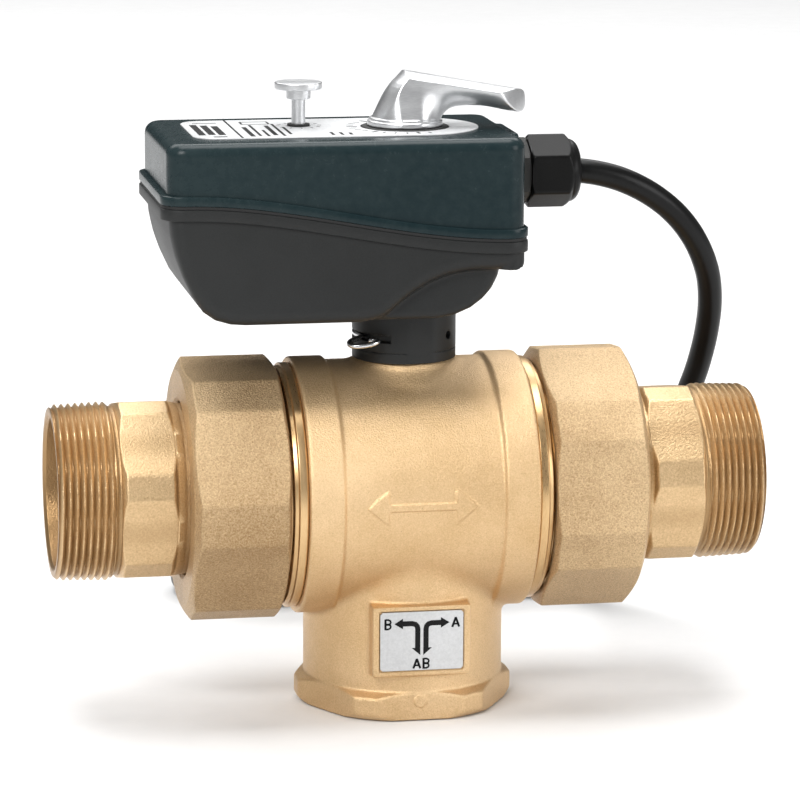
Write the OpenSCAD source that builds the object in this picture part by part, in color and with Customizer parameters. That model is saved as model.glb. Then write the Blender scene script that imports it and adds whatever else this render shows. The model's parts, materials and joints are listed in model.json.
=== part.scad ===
// Motorised three-way diverter ball valve with union tailpieces.
// Millimetres. Origin at the bottom centre of the lower port, X along the run,
// Y away from the front, Z up.

/* [Display] */

// Sub-part to draw, or all of them

/* [Run] */

// Height of the run axis above the foot of the lower port
run_h = 74.4; // [60:0.1:90]
// Distance from the middle to the end of each tailpiece
half_len = 119.2; // [100:0.1:140]
// Radius of the body barrel
barrel_r = 41.8; // [36:0.1:46]
// Radius of the raised end bands
band_r = 43.1; // [38:0.1:48]
// Radius of the flow bore in the ball
bore_r = 19; // [15:0.5:24]
// Radius of the ball
ball_r = 28.9; // [25:0.1:32]
// Radius of the bore in the tailpieces
tail_bore_r = 25; // [20:0.1:27]
// Crest radius of the male pipe thread
pipe_r = 29.7; // [25:0.1:32]
// Corner radius of the union nuts
nut_r = 44.2; // [40:0.1:48]
// Corner radius of the tailpiece hexagons
tail_hex_r = 31.4; // [29:0.1:34]

/* [Lower port] */

// Radius of the lower port
port_r = 33.7; // [30:0.1:37]
// Corner radius of the foot hexagon
foot_hex_r = 37; // [33:0.1:40]
// Height of the foot hexagon
foot_h = 9.4; // [6:0.1:14]
// Radius of the female thread
female_r = 28.3; // [24:0.1:30]
// Depth of the female thread
female_len = 20; // [12:0.5:24]

/* [Actuator] */

// Underside of the actuator
act_z = 134.5; // [128:0.1:140]
// Top of the smoked cover
cover_z = 194.3; // [185:0.1:205]
// Left end of the cover
cover_x0 = -83.4; // [-95:0.1:-75]
// Right end of the cover
cover_x1 = 34.6; // [28:0.1:40]
// Half width of the cover
cover_y = 34; // [30:0.1:38]
// Parting height at the left end
part_l = 174; // [165:0.1:180]
// Parting height at the right end
part_r = 161; // [150:0.1:170]
// Wall thickness of the two shells
wall = 2.4; // [1.5:0.1:4]

/* [Gears] */

// Gear module
gear_m = 1; // [0.8:0.05:1.2]
// Teeth on the output gear
teeth_out = 40; // [30:1:60]
// Teeth on the intermediate wheels
teeth_wheel = 30; // [20:1:40]
// Teeth on the pinions
teeth_pin = 12; // [10:1:16]

/* [Controls] */

// Top of the hand lever
lever_top = 213.5; // [205:0.1:220]
// Reach of the hand lever from its axis
lever_reach = 42.6; // [30:0.1:50]
// X of the release button
knob_x = -34.8; // [-45:0.1:-25]
// Top of the release button
knob_z = 209.4; // [203:0.1:214]
// Press travel of the release button
knob_travel = 4; // [2:0.1:5]

/* [Cable] */

// Outside radius of the cable
cable_r = 4.2; // [3:0.1:5]
// Height of the gland axis
gland_z = 178; // [170:0.1:185]
// Y of the gland axis
gland_y = 6; // [0:0.5:12]

/* [Hidden] */

far = 200;
eps = 0.01;
knob_y = 6;
clip_z = 125.6;

// Axes of the gear train
g2_xy = [-26, 0];
g1_xy = [-44, -10.8];
mot_xy = [-62.2, -0.3];
dir_21 = atan2(g1_xy[1] - g2_xy[1], g1_xy[0] - g2_xy[0]);
dir_1m = atan2(mot_xy[1] - g1_xy[1], mot_xy[0] - g1_xy[0]);
step_pin = 360 / teeth_pin;

// Cable route from inside the cover to the start of the hank
cable_route = [
  [27, 6, 178], [34, 6, 178], [41, 6, 178], [47.9, 6, 178], [54.9, 6, 178],
  [61.8, 6.1, 177.6], [68.7, 6.4, 176.4], [75.4, 6.9, 174.4], [81.7, 7.8, 171.6],
  [87.7, 9.1, 168.1], [93.1, 10.7, 164.1], [98, 12.6, 159.5], [102.3, 14.8, 154.4],
  [105.9, 17.3, 149], [108.9, 20.1, 143.3], [111.2, 23.1, 137.5], [112.7, 26.2, 131.4],
  [113.6, 29.4, 125.3], [113.9, 32.6, 119.1], [113.8, 35.8, 112.8], [113.3, 38.9, 106.6],
  [112.6, 42.2, 100.5], [111.5, 45.5, 94.5], [110.4, 49, 88.6], [109.1, 52.7, 82.8],
  [107.8, 56.6, 77.1], [106.6, 60.5, 71.4], [105.5, 64.6, 65.7], [104.5, 68.7, 60.1],
  [103.8, 72.9, 54.6], [103.2, 77.3, 49.1], [102.7, 81.9, 43.8], [102.2, 86.6, 38.6],
  [101.5, 91.5, 33.6], [100.4, 96.6, 28.8], [98.8, 101.7, 24.3], [96.5, 106.9, 20.1],
  [93.3, 111.9, 16.2], [89.2, 116.5, 12.9], [84.1, 120.5, 10.1], [78.3, 123.8, 7.8],
  [71.8, 126.2, 6.3], [64.9, 127.6, 5.4], [58, 128.1, 5.1]
];

// Hank on the floor behind the run
hank_x0 = -30;
hank_x1 = 58;
hank_y0 = 128;
hank_fold = 25.2;
hank_yc = hank_y0 + hank_fold;
hank_z0 = 0.9;
hank_end_x = 3.4;
layer = 2 * cable_r;
tie_x = -12;
core_z = hank_z0 + 3 * layer + 1.3;

// ---- helpers ----

// Revolves a profile of [x, r] points about the run axis.
module run_turn(pts) {
  translate([0, 0, run_h])
    rotate([0, 90, 0])
      rotate_extrude($fn = 96)
        polygon([for (p = pts) [p[1], p[0]]]);
}

// Revolves a profile of [r, z] points about a vertical axis.
module up_turn(pts, fn = 72) {
  rotate_extrude($fn = fn)
    polygon(pts);
}

// Hexagon with its corners cut off: flat_deg is the angle each main flat spans.
module cut_hex(r, flat_deg, turn) {
  polygon([for (i = [0:5]) each [
    [r * cos(turn + 60 * i - flat_deg / 2), r * sin(turn + 60 * i - flat_deg / 2)],
    [r * cos(turn + 60 * i + flat_deg / 2), r * sin(turn + 60 * i + flat_deg / 2)]
  ]]);
}

// Plan outline of a shell with round corners.
module plan(x0, x1, y, rad) {
  translate([x0 + rad, -y])
    square([x1 - x0 - 2 * rad, 2 * y]);
  translate([x0, -y + rad])
    square([x1 - x0, 2 * y - 2 * rad]);
  for (x = [x0 + rad, x1 - rad], s = [-1, 1])
    translate([x, s * (y - rad)])
      circle(r = rad, $fn = 48);
}

// Extrudes an [x, z] outline along Y from y0 to y1.
module side_extrude(y0, y1) {
  translate([0, y1, 0])
    rotate([90, 0, 0])
      linear_extrude(y1 - y0)
        children();
}

// Extrudes a [y, z] outline along X from x0 to x1.
module end_extrude(x0, x1) {
  translate([x0, 0, 0])
    rotate([90, 0, 90])
      linear_extrude(x1 - x0)
        children();
}

// Height of the parting line at x.
function ease(t) = t <= 0 ? 0 : t >= 1 ? 1 : t * t * (3 - 2 * t);
function part_at(x) = part_l + (part_r - part_l) * ease((x + 78) / 108);
part_xs = [for (i = [0:18]) -78 + 6 * i];

// Outline between the parting line shifted by d and the level z.
module over_part(d, z) {
  polygon(concat(
    [[-far, part_l + d]],
    [for (x = part_xs) [x, part_at(x) + d]],
    [[far, part_r + d], [far, z], [-far, z]]
  ));
}

// Outline of a gear with trapezoid teeth; phase is the angle of one tooth.
module gear_outline(teeth, phase) {
  rp = gear_m * teeth / 2;
  ra = rp + 0.75 * gear_m;
  rf = rp - 1.2 * gear_m;
  p = 360 / teeth;
  polygon([for (i = [0:teeth - 1]) each [
    [rf * cos(phase + p * i - 0.26 * p), rf * sin(phase + p * i - 0.26 * p)],
    [ra * cos(phase + p * i - 0.1 * p), ra * sin(phase + p * i - 0.1 * p)],
    [ra * cos(phase + p * i + 0.1 * p), ra * sin(phase + p * i + 0.1 * p)],
    [rf * cos(phase + p * i + 0.26 * p), rf * sin(phase + p * i + 0.26 * p)]
  ]]);
}

// Cross product, unit vector and frame for a swept tube.
function unit(v) = v / norm(v);
function tangent(p, i) = unit(p[min(i + 1, len(p) - 1)] - p[max(i - 1, 0)]);
function side_of(t) = unit(cross(t, abs(t[2]) < 0.9 ? [0, 0, 1] : [0, 1, 0]));
function carry(t, s) = unit(s - t * (t * s));
function sides(p, i) = i == 0
  ? [side_of(tangent(p, 0))]
  : let(prev = sides(p, i - 1)) concat(prev, [carry(tangent(p, i), prev[i - 1])]);

// Round tube of radius r and k sides along the points p.
module sweep(p, r, k) {
  n = len(p);
  s = sides(p, n - 1);
  pts = [for (i = [0:n - 1]) let(t = tangent(p, i), u = s[i], v = cross(t, u))
    for (j = [0:k - 1]) p[i] + r * (cos(360 * j / k) * u + sin(360 * j / k) * v)];
  walls = [for (i = [0:n - 2], j = [0:k - 1])
    [i * k + j, (i + 1) * k + j, (i + 1) * k + (j + 1) % k, i * k + (j + 1) % k]];
  caps = [[for (j = [0:k - 1]) j], [for (j = [k - 1:-1:0]) (n - 1) * k + j]];
  polyhedron(points = pts, faces = concat(walls, caps), convexity = 6);
}

// ---- wet side ----

// Cast brass body: barrel, bands, lower port with foot hexagon, stem neck.
module valve_body() {
  color([0.78, 0.6, 0.33])
  difference() {
    union() {
      run_turn([[-38.5, 0], [-38.5, 42.3], [-37.7, 43.1], [-27.4, 43.1], [-26.3, 41.8],
        [26.3, 41.8], [27.4, 43.1], [37.7, 43.1], [38.5, 42.3], [38.5, 0]]);
      // lower port, flared into the barrel
      up_turn([[0, foot_h - 1], [port_r, foot_h - 1], [port_r, run_h - 30],
        [port_r + 1.6, run_h - 24], [0, run_h - 24]]);
      intersection() {
        linear_extrude(foot_h)
          cut_hex(foot_hex_r, 47, -90);
        up_turn([[0, 0], [foot_hex_r - 2, 0], [foot_hex_r + 0.4, 2.2],
          [foot_hex_r + 0.4, 7.2], [foot_hex_r - 3.2, foot_h + 0.1], [0, foot_h + 0.1]]);
      }
      // label frame on the front of the port
      translate([-16.5, -35.6, 15.6])
        cube([33, 20, 24]);
      // stem neck
      up_turn([[0, run_h], [18.4, run_h + 37], [16.4, run_h + 40.4], [15.6, run_h + 42.9],
        [12, run_h + 42.9], [12, 131], [0, 131]]);
    }
    // cross bore with a chamber for the ball
    run_turn([[-60, 0], [-60, 31], [60, 31], [60, 0]]);
    // lower port bore and female thread
    translate([0, 0, -1])
      cylinder(h = female_len + 1, r = female_r, $fn = 96);
    translate([0, 0, female_len - eps])
      cylinder(h = 5, r1 = female_r - 1.4, r2 = 22, $fn = 96);
    cylinder(h = run_h, r = 21, $fn = 96);
    up_turn([[0, -1], [female_r + 2.4, -1], [female_r, 1.6], [0, 1.6]]);
    // label recess
    translate([-14.3, -36, 17.3])
      cube([28.6, 1.2, 20.6]);
    // stem passage: foot pocket, shaft bore, bush pocket
    translate([0, 0, run_h + 28])
      cylinder(h = 7, r = 9, $fn = 72);
    cylinder(h = far, r = 6.25, $fn = 72);
    translate([0, 0, 126.4])
      cylinder(h = 10, r = 9, $fn = 72);
  }
}

// Threaded end cap that holds a seat; side is 1 for port A, -1 for port B.
module cap_side(side) {
  mirror([side < 0 ? 1 : 0, 0, 0])
    run_turn([[25.5, bore_r + 0.5], [25.5, 30.8], [32.8, 30.8], [32.8, 28.6], [35.6, 28.6],
      [35.6, 30.8], [38.6, 30.8], [38.6, 40.6], [39.1, 41.1], [41.6, 41.1], [41.9, 40.2],
      [43.2, 40], [43.2, 37.5], [55.7, 37.5], [56.5, 36.7], [56.5, tail_bore_r + 0.4],
      [34, tail_bore_r + 0.4], [30, bore_r + 0.5]]);
}

module end_cap_a() {
  color([0.8, 0.62, 0.35])
    cap_side(1);
}

module end_cap_b() {
  color([0.8, 0.62, 0.35])
    cap_side(-1);
}

// O-ring in the groove of an end cap.
module cap_ring(side) {
  translate([side * 34.2, 0, run_h])
    rotate([0, 90, 0])
      rotate_extrude($fn = 60)
        translate([29.75, 0])
          circle(r = 1, $fn = 16);
}

module body_oring_a() {
  color([0.08, 0.08, 0.08])
    cap_ring(1);
}

module body_oring_b() {
  color([0.08, 0.08, 0.08])
    cap_ring(-1);
}

// Union nut with cut corners and chamfered ends.
module nut_side(side, turn) {
  mirror([side < 0 ? 1 : 0, 0, 0])
    difference() {
      intersection() {
        translate([44.3, 0, run_h])
          rotate([90, 0, 90])
            linear_extrude(31.9)
              cut_hex(nut_r, 41.5, turn);
        run_turn([[44.3, 0], [44.3, 40.8], [46.4, nut_r + 0.3], [73.4, nut_r + 0.3],
          [76.2, 39.6], [76.2, 0]]);
      }
      run_turn([[44, 0], [44, 38.9], [45.4, 37.8], [66.3, 37.8], [66.3, 29.1],
        [75.4, 29.1], [76.6, 30.3], [76.6, 0]]);
    }
}

module union_nut_a() {
  color([0.8, 0.62, 0.35])
    nut_side(1, 54);
}

module union_nut_b() {
  color([0.8, 0.62, 0.35])
    nut_side(-1, 35);
}

// Tailpiece: flange, neck, hexagon and male pipe thread.
module tail_side(side, turn) {
  mirror([side < 0 ? 1 : 0, 0, 0])
    difference() {
      union() {
        run_turn([[58.6, 0], [58.6, 35.6], [59, 36.2], [66.1, 36.2], [66.1, 28.6], [77, 28.6],
          [80.4, 30.2], [81, 30.2], [81, 0]]);
        intersection() {
          translate([80.4, 0, run_h])
            rotate([90, 0, 90])
              linear_extrude(17.6)
                cut_hex(tail_hex_r, 44.5, turn);
          run_turn([[80.4, 0], [80.4, 29.6], [82, tail_hex_r + 0.3], [96.4, tail_hex_r + 0.3],
            [98, 29.6], [98, 0]]);
        }
        run_turn([[97, 0], [97, 28.2], [99.4, 28.2], [100.6, pipe_r], [117.2, pipe_r],
          [half_len, 28], [half_len, 0]]);
      }
      run_turn([[58, 0], [58, tail_bore_r], [half_len - 1, tail_bore_r],
        [half_len + 0.2, tail_bore_r + 1.2], [half_len + 0.2, 0]]);
    }
}

module tailpiece_a() {
  color([0.8, 0.62, 0.35])
    tail_side(1, 20);
}

module tailpiece_b() {
  color([0.8, 0.62, 0.35])
    tail_side(-1, 17);
}

// Flat gasket between an end cap and a tailpiece.
module gasket_side(side) {
  mirror([side < 0 ? 1 : 0, 0, 0])
    run_turn([[56.55, 26], [56.55, 35.8], [58.55, 35.8], [58.55, 26]]);
}

module union_gasket_a() {
  color([0.75, 0.75, 0.72])
    gasket_side(1);
}

module union_gasket_b() {
  color([0.75, 0.75, 0.72])
    gasket_side(-1);
}

// Seat ring with a spherical face that clears the ball by a hair.
module seat_side(side) {
  mirror([side < 0 ? 1 : 0, 0, 0])
    difference() {
      run_turn([[14, bore_r + 0.7], [14, 29], [25.4, 29], [25.4, bore_r + 0.7]]);
      translate([0, 0, run_h])
        sphere(r = ball_r + 0.2, $fn = 96);
    }
}

module seat_ring_a() {
  color([0.92, 0.92, 0.9])
    seat_side(1);
}

module seat_ring_b() {
  color([0.92, 0.92, 0.9])
    seat_side(-1);
}

// Ball with three bores at right angles and a slot for the stem.
module ball() {
  color([0.75, 0.76, 0.78])
  translate([0, 0, run_h])
    difference() {
      sphere(r = ball_r, $fn = 96);
      translate([0, 0, -40])
        cylinder(h = 40, r = bore_r, $fn = 72);
      rotate([0, 90, 0])
        cylinder(h = 40, r = bore_r, $fn = 72);
      rotate([90, 0, 0])
        cylinder(h = 40, r = bore_r, $fn = 72);
      translate([-12, -3.3, 23.4])
        cube([24, 6.6, 10]);
    }
}

// Stem: tongue, foot collar, sealed shaft and square drive.
module stem() {
  color([0.7, 0.68, 0.6])
  difference() {
    union() {
      translate([-7.5, -3.1, run_h + 23.8])
        cube([15, 6.2, 6.4]);
      translate([0, 0, run_h + 29.4])
        cylinder(h = 4.6, r = 8.6, $fn = 72);
      translate([0, 0, run_h + 30])
        cylinder(h = 26.2, r = 6, $fn = 72);
      translate([-4, -4, 130])
        cube([8, 8, 10]);
    }
    for (z = [113.6, 119.6])
      translate([0, 0, z])
        difference() {
          cylinder(h = 2.6, r = 7, $fn = 72);
          translate([0, 0, -1])
            cylinder(h = 5, r = 4.3, $fn = 72);
        }
  }
}

module stem_ring(z) {
  translate([0, 0, z])
    rotate_extrude($fn = 48)
      translate([5.25, 0])
        circle(r = 0.9, $fn = 16);
}

module stem_oring_lower() {
  color([0.08, 0.08, 0.08])
    stem_ring(114.9);
}

module stem_oring_upper() {
  color([0.08, 0.08, 0.08])
    stem_ring(120.9);
}

// Plain bush that guides the top of the stem.
module stem_bush() {
  color([0.9, 0.9, 0.86])
    up_turn([[6.2, 126.5], [8.85, 126.5], [8.85, 130.8], [6.2, 130.8]]);
}

// Flow diagram plate in the frame on the lower port.
module port_label() {
  color([0.75, 0.76, 0.78])
    translate([-14, -35.4, 17.6])
      cube([28, 0.5, 20]);
}

// ---- coupling between valve and actuator ----

// Plastic collar round the stem neck, with a groove for the wire clip.
module mounting_collar() {
  color([0.05, 0.05, 0.055])
  difference() {
    up_turn([[12.2, 117.4], [17, 117.4], [17.4, 117.8], [17.4, act_z - 0.05], [12.2, act_z - 0.05]]);
    up_turn([[15.4, clip_z - 1.2], [18, clip_z - 1.2], [18, clip_z + 1.2], [15.4, clip_z + 1.2]]);
    translate([11.5, -9.5, 127.6])
      rotate([90, 0, 50])
        cylinder(h = 8, r = 0.9, $fn = 16);
  }
}

// Spring wire clip that locks the collar on the neck.
module retaining_clip() {
  color([0.72, 0.73, 0.75])
  translate([0, 0, clip_z]) {
    rotate([0, 0, 60])
      rotate_extrude(angle = 140, $fn = 60)
        translate([16.6, 0])
          circle(r = 0.9, $fn = 12);
    sweep([[-15.7, -5.4, 0], [-15.4, -7, 0], [-16.4, -9.6, 0.1], [-18.4, -12.4, 0.1],
      [-20.6, -14.8, -0.2], [-21.4, -17, -0.7], [-20.2, -18.7, -1.1], [-17.6, -19.3, -1],
      [-14.6, -19.1, -0.4], [-12, -18.2, 0], [-9.8, -16.8, 0.1], [-8.2, -15.4, 0.1]], 0.9, 10);
  }
}

// ---- actuator shells ----

// Side outline of the base: left end curves in, main lobe steps up at the right.
module base_side(d) {
  offset(delta = -d)
    polygon([[-84.3, 180], [-84, 171], [-83, 164], [-81, 157.4], [-78.4, 150.6],
      [-75.4, 144.2], [-72, 139.4], [-68, 136.4], [-63, 134.9], [-58, act_z], [-20, act_z],
      [-16, 135.2], [-12.2, 136.4], [-9.4, 138.5], [-5.9, 141.5], [-2.3, 144.1], [2.6, 147],
      [7.5, 149], [11.9, 150.1], [17.1, 150.8], [31.4, 151], [33.6, 151.8], [34.7, 153.6],
      [34.9, 156], [34.9, 180]]);
}

// Side outline of the recessed lobe round the output shaft.
module lobe_side(d) {
  offset(delta = -d)
    polygon([[-60, 158], [-60, act_z], [6, act_z], [12, 135.6], [17.2, 137.8], [21, 140.6],
      [24.4, 144], [27, 147.8], [28.6, 151.6], [29.4, 158]]);
}

// Lower shell with the flange that carries the cover.
module base_housing() {
  color([0.045, 0.045, 0.05])
  difference() {
    union() {
      intersection() {
        side_extrude(-cover_y, cover_y)
          base_side(0);
        linear_extrude(far)
          plan(-84.3, 34.9, cover_y, 6.5);
        side_extrude(-60, 60)
          difference() {
            translate([-far, 100])
              square([2 * far, 100]);
            over_part(-0.5, far);
          }
      }
      intersection() {
        side_extrude(-29, 29)
          lobe_side(0);
        linear_extrude(far)
          plan(-70, 29.4, 29, 9);
      }
      // flange band that follows the parting line
      intersection() {
        linear_extrude(far)
          plan(-85.4, 36, cover_y + 1.2, 7.5);
        side_extrude(-60, 60)
          difference() {
            over_part(-4.4, far);
            over_part(-0.5, far + 1);
          }
      }
    }
    // main cavity
    intersection() {
      side_extrude(-cover_y + wall, cover_y - wall)
        base_side(wall);
      linear_extrude(far)
        plan(-84.3 + wall, 34.9 - wall, cover_y - wall, 4.2);
    }
    intersection() {
      side_extrude(-29 + wall, 29 - wall)
        lobe_side(wall);
      linear_extrude(far)
        plan(-70, 29.4 - wall, 29 - wall, 6.6);
      translate([-58, -30, 130])
        cube([120, 60, 40]);
    }
    // output hole
    translate([0, 0, act_z - 1])
      cylinder(h = 8, r = 9.4, $fn = 72);
    // ways for the cover screws
    for (p = screw_xy)
      translate([p[0], p[1], 120])
        cylinder(h = 36, r = 3, $fn = 36);
  }
  for (i = [0:3])
    base_boss(screw_xy[i], screw_z[i]);
}

// Corner screws of the cover and the seats of their heads.
screw_xy = [[-72, -26.5], [-72, 26.5], [30, -29], [30, 29]];
screw_z = [150, 150, 153.6, 153.6];

// Counterbored tube inside the base round one cover screw.
module base_boss(p, z) {
  difference() {
    intersection() {
      translate([p[0], p[1], 130])
        cylinder(h = part_at(p[0]) - 130.5, r = 4.6, $fn = 36);
      side_extrude(-60, 60)
        base_side(0);
    }
    translate([p[0], p[1], 120])
      cylinder(h = z - 120, r = 3, $fn = 36);
    translate([p[0], p[1], 120])
      cylinder(h = 80, r = 1.7, $fn = 24);
  }
}

// Seal between base and cover along the stepped parting line.
module housing_gasket() {
  color([0.02, 0.02, 0.02])
  intersection() {
    linear_extrude(far)
      difference() {
        plan(-84.9, 35.5, cover_y + 0.7, 7);
        plan(-81.4, 32, cover_y - 2.8, 3.6);
      }
    side_extrude(-60, 60)
      difference() {
        over_part(-0.45, far);
        over_part(0.45, far + 1);
      }
  }
}

// Smoked cover with its own flange and the block for the cable gland.
module top_cover() {
  color([0.1, 0.14, 0.15, 0.55])
  difference() {
    union() {
      cover_shell();
      for (p = screw_xy)
        translate([p[0], p[1], part_at(p[0]) + 0.5])
          cylinder(h = cover_z - 2.5 - part_at(p[0]), r = 3.4, $fn = 32);
    }
    // shaft, button, gland and screw holes
    translate([0, 0, 180])
      cylinder(h = 20, r = 6.4, $fn = 72);
    translate([knob_x, knob_y, 180])
      cylinder(h = 20, r = 3.5, $fn = 36);
    translate([20, gland_y, gland_z])
      rotate([0, 90, 0])
        cylinder(h = 20, r = 8.1, $fn = 48);
    for (p = screw_xy)
      translate([p[0], p[1], part_at(p[0]) - 1])
        cylinder(h = 13.5, r = 1.6, $fn = 24);
  }
}

// Hollow shell of the cover, before its posts and holes.
module cover_shell() {
  difference() {
    union() {
      intersection() {
        linear_extrude(far)
          plan(cover_x0, cover_x1, cover_y, 6.5);
        side_extrude(-60, 60)
          over_part(0.5, cover_z - 4);
      }
      // rounded shoulder
      for (row = shoulder_rows)
        translate([0, 0, cover_z - 4 + row[0]])
          linear_extrude(row[1])
            plan(cover_x0 + row[2], cover_x1 - row[2], cover_y - row[2], 6.5 - 0.9 * row[2]);
      intersection() {
        linear_extrude(far)
          plan(-85.4, 36, cover_y + 1.2, 7.5);
        side_extrude(-60, 60)
          difference() {
            over_part(0.5, far);
            over_part(3.7, far + 1);
          }
      }
      // gland block
      end_extrude(30, 37.4)
        translate([gland_y - 13, 165])
          square([26, 27.6]);
    }
    intersection() {
      linear_extrude(far)
        plan(cover_x0 + wall + 0.4, cover_x1 - wall - 0.4, cover_y - wall - 0.4, 4);
      side_extrude(-60, 60)
        over_part(-1, cover_z - wall - 2);
    }
  }
}

// Height above the foot of the cover shoulder, thickness and inset of each layer.
shoulder_rows = [[0, 1, 0.15], [1, 0.8, 0.45], [1.8, 0.7, 0.9], [2.5, 0.6, 1.5], [3.1, 0.5, 2.2],
  [3.6, 0.4, 3]];

// Thin plate on the cover with a round end about the lever.
module rating_plate() {
  color([0.7, 0.71, 0.73])
  translate([0, 0, cover_z + 0.02])
    linear_extrude(0.45)
      difference() {
        union() {
          polygon([[-73, -16], [-72, -19], [-69.5, -21.6], [-66.5, -22.6], [1.6, -22.8],
            [1.6, 22.8], [-66.5, 22.6], [-69.5, 21.6], [-72, 19], [-73, 16]]);
          translate([1.6, 0])
            circle(r = 22.8, $fn = 96);
        }
        circle(r = 14.8, $fn = 72);
        translate([knob_x, knob_y])
          circle(r = 3.9, $fn = 36);
      }
}

// Self-tapping screw from under the base into the cover.
module cover_screw(i) {
  p = screw_xy[i];
  z = screw_z[i];
  translate([p[0], p[1], 0])
    difference() {
      up_turn([[0, z - 2.4], [2.4, z - 2.4], [2.7, z - 2], [2.7, z - 0.05], [1.4, z - 0.05],
        [1.4, part_at(p[0]) + 9], [0, part_at(p[0]) + 10]], 24);
      translate([-1.8, -0.4, z - 3])
        cube([3.6, 0.8, 1.8]);
      translate([-0.4, -1.8, z - 3])
        cube([0.8, 3.6, 1.8]);
    }
}

module cover_screw_1() {
  color([0.7, 0.7, 0.72])
    cover_screw(0);
}

module cover_screw_2() {
  color([0.7, 0.7, 0.72])
    cover_screw(1);
}

module cover_screw_3() {
  color([0.7, 0.7, 0.72])
    cover_screw(2);
}

module cover_screw_4() {
  color([0.7, 0.7, 0.72])
    cover_screw(3);
}

// ---- drive ----

// Lower gear plate with bearing pins and posts.
module gear_frame() {
  color([0.6, 0.6, 0.58])
  difference() {
    union() {
      translate([0, 0, 138])
        linear_extrude(2)
          plan(-58, 10.8, 22, 8);
      for (p = post_xy)
        translate([p[0], p[1], 139])
          cylinder(h = 19.45, r = 2.2, $fn = 24);
      for (p = [g1_xy, g2_xy])
        translate([p[0], p[1], 139])
          cylinder(h = 19.45, r = 2, $fn = 36);
    }
    translate([0, 0, 130])
      cylinder(h = 20, r = 9.3, $fn = 72);
  }
}

post_xy = [[-55, 18], [-24, -19.4], [-20, 19.4]];

// Upper gear plate under the motor and switches.
module gear_plate() {
  color([0.62, 0.63, 0.62])
  difference() {
    translate([0, 0, 158.5])
      linear_extrude(2)
        plan(-78, 27, 21, 8);
    cylinder(h = far, r = 6.3, $fn = 72);
    translate([mot_xy[0], mot_xy[1], 150])
      cylinder(h = 20, r = 3, $fn = 36);
  }
}

// Synchronous motor can.
module motor() {
  color([0.66, 0.67, 0.68])
  difference() {
    translate([mot_xy[0], mot_xy[1], 0])
      up_turn([[0, 160.55], [15.4, 160.55], [16.4, 161.5], [16.4, 178.6], [15.4, 179.6], [0, 179.6]]);
    translate([mot_xy[0], mot_xy[1], 150])
      cylinder(h = 15.4, r = 2.4, $fn = 36);
  }
}

// Motor pinion with its shaft end.
module motor_pinion() {
  color([0.75, 0.68, 0.45])
  translate([mot_xy[0], mot_xy[1], 0]) {
    translate([0, 0, 153.9])
      linear_extrude(3.4)
        gear_outline(teeth_pin, dir_1m + 180 - step_pin / 2);
    translate([0, 0, 157])
      cylinder(h = 8, r = 2, $fn = 36);
  }
}

// Wheel and pinion on one hub, with a running bore.
module compound(xy, z_pin, h_pin, ph_pin, z_wheel, h_wheel, ph_wheel) {
  translate([xy[0], xy[1], 0])
    difference() {
      union() {
        translate([0, 0, z_pin])
          linear_extrude(h_pin)
            gear_outline(teeth_pin, ph_pin);
        translate([0, 0, z_pin])
          cylinder(h = z_wheel - z_pin + 0.5, r = 4.6, $fn = 36);
        translate([0, 0, z_wheel])
          linear_extrude(h_wheel)
            gear_outline(teeth_wheel, ph_wheel);
      }
      translate([0, 0, 130])
        cylinder(h = 40, r = 2.08, $fn = 36);
    }
}

module gear_1() {
  color([0.86, 0.86, 0.82])
    compound(g1_xy, 148.8, 3.6, dir_21 + 180 - step_pin / 2, 154, 3.2, dir_1m);
}

module gear_2() {
  color([0.86, 0.86, 0.82])
    compound(g2_xy, 142, 6.6, step_pin / 2, 149, 3.2, dir_21);
}

// Output gear on the shaft that turns the valve stem.
module output_gear() {
  color([0.84, 0.84, 0.8])
  translate([0, 0, 144.3])
    difference() {
      linear_extrude(4.3)
        gear_outline(teeth_out, 0);
      translate([0, 0, -1])
        cylinder(h = 10, r = 9.1, $fn = 72);
    }
}

// Output shaft with a square socket below and a square head above.
module output_shaft() {
  color([0.68, 0.69, 0.7])
  difference() {
    union() {
      up_turn([[0, 132], [9.05, 132], [9.05, 149], [6, 149.6], [6, 194.9], [0, 194.9]]);
      translate([-3.6, -3.6, 194.5])
        cube([7.2, 7.2, 8.5]);
    }
    translate([-4.15, -4.15, 131])
      cube([8.3, 8.3, 9.4]);
  }
}

// Switch cam on the output shaft.
module cam(z, lobe_deg) {
  translate([0, 0, z])
    linear_extrude(3.6)
      difference() {
        union() {
          circle(r = 9, $fn = 60);
          rotate(lobe_deg)
            translate([0, -2])
              square([11, 4]);
        }
        circle(r = 6.1, $fn = 60);
      }
}

module cam_lower() {
  color([0.85, 0.85, 0.85])
    cam(162, 120);
}

module cam_upper() {
  color([0.8, 0.25, 0.15])
    cam(167, 210);
}

// Microswitch body with a plunger lever toward the cams.
module limit_switch(z) {
  translate([13, 3, z])
    cube([8, 16, 5.4]);
  translate([12, 4, z + 1.6])
    cube([1.02, 12, 2.2]);
}

module limit_switch_a() {
  color([0.06, 0.06, 0.07])
    limit_switch(161);
}

module limit_switch_b() {
  color([0.06, 0.06, 0.07])
    limit_switch(166.8);
}

// Control board beside the cams.
module circuit_board() {
  color([0.1, 0.32, 0.16])
    translate([-42, 24, 164])
      cube([56, 1.6, 22]);
}

// Screw terminals for the supply cores.
module terminal_block() {
  color([0.2, 0.3, 0.36])
  difference() {
    translate([12, -14, 172.6])
      cube([10, 34, 12]);
    for (i = [0:3])
      translate([17, -9 + 8 * i, 176])
        cylinder(h = 10, r = 2, $fn = 24);
  }
}

// Run capacitor next to the motor.
module capacitor() {
  color([0.12, 0.2, 0.45])
    translate([-38, -16, 166])
      rotate([0, 90, 0])
        cylinder(h = 26, r = 5.2, $fn = 36);
}

// ---- controls on the cover ----

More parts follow.
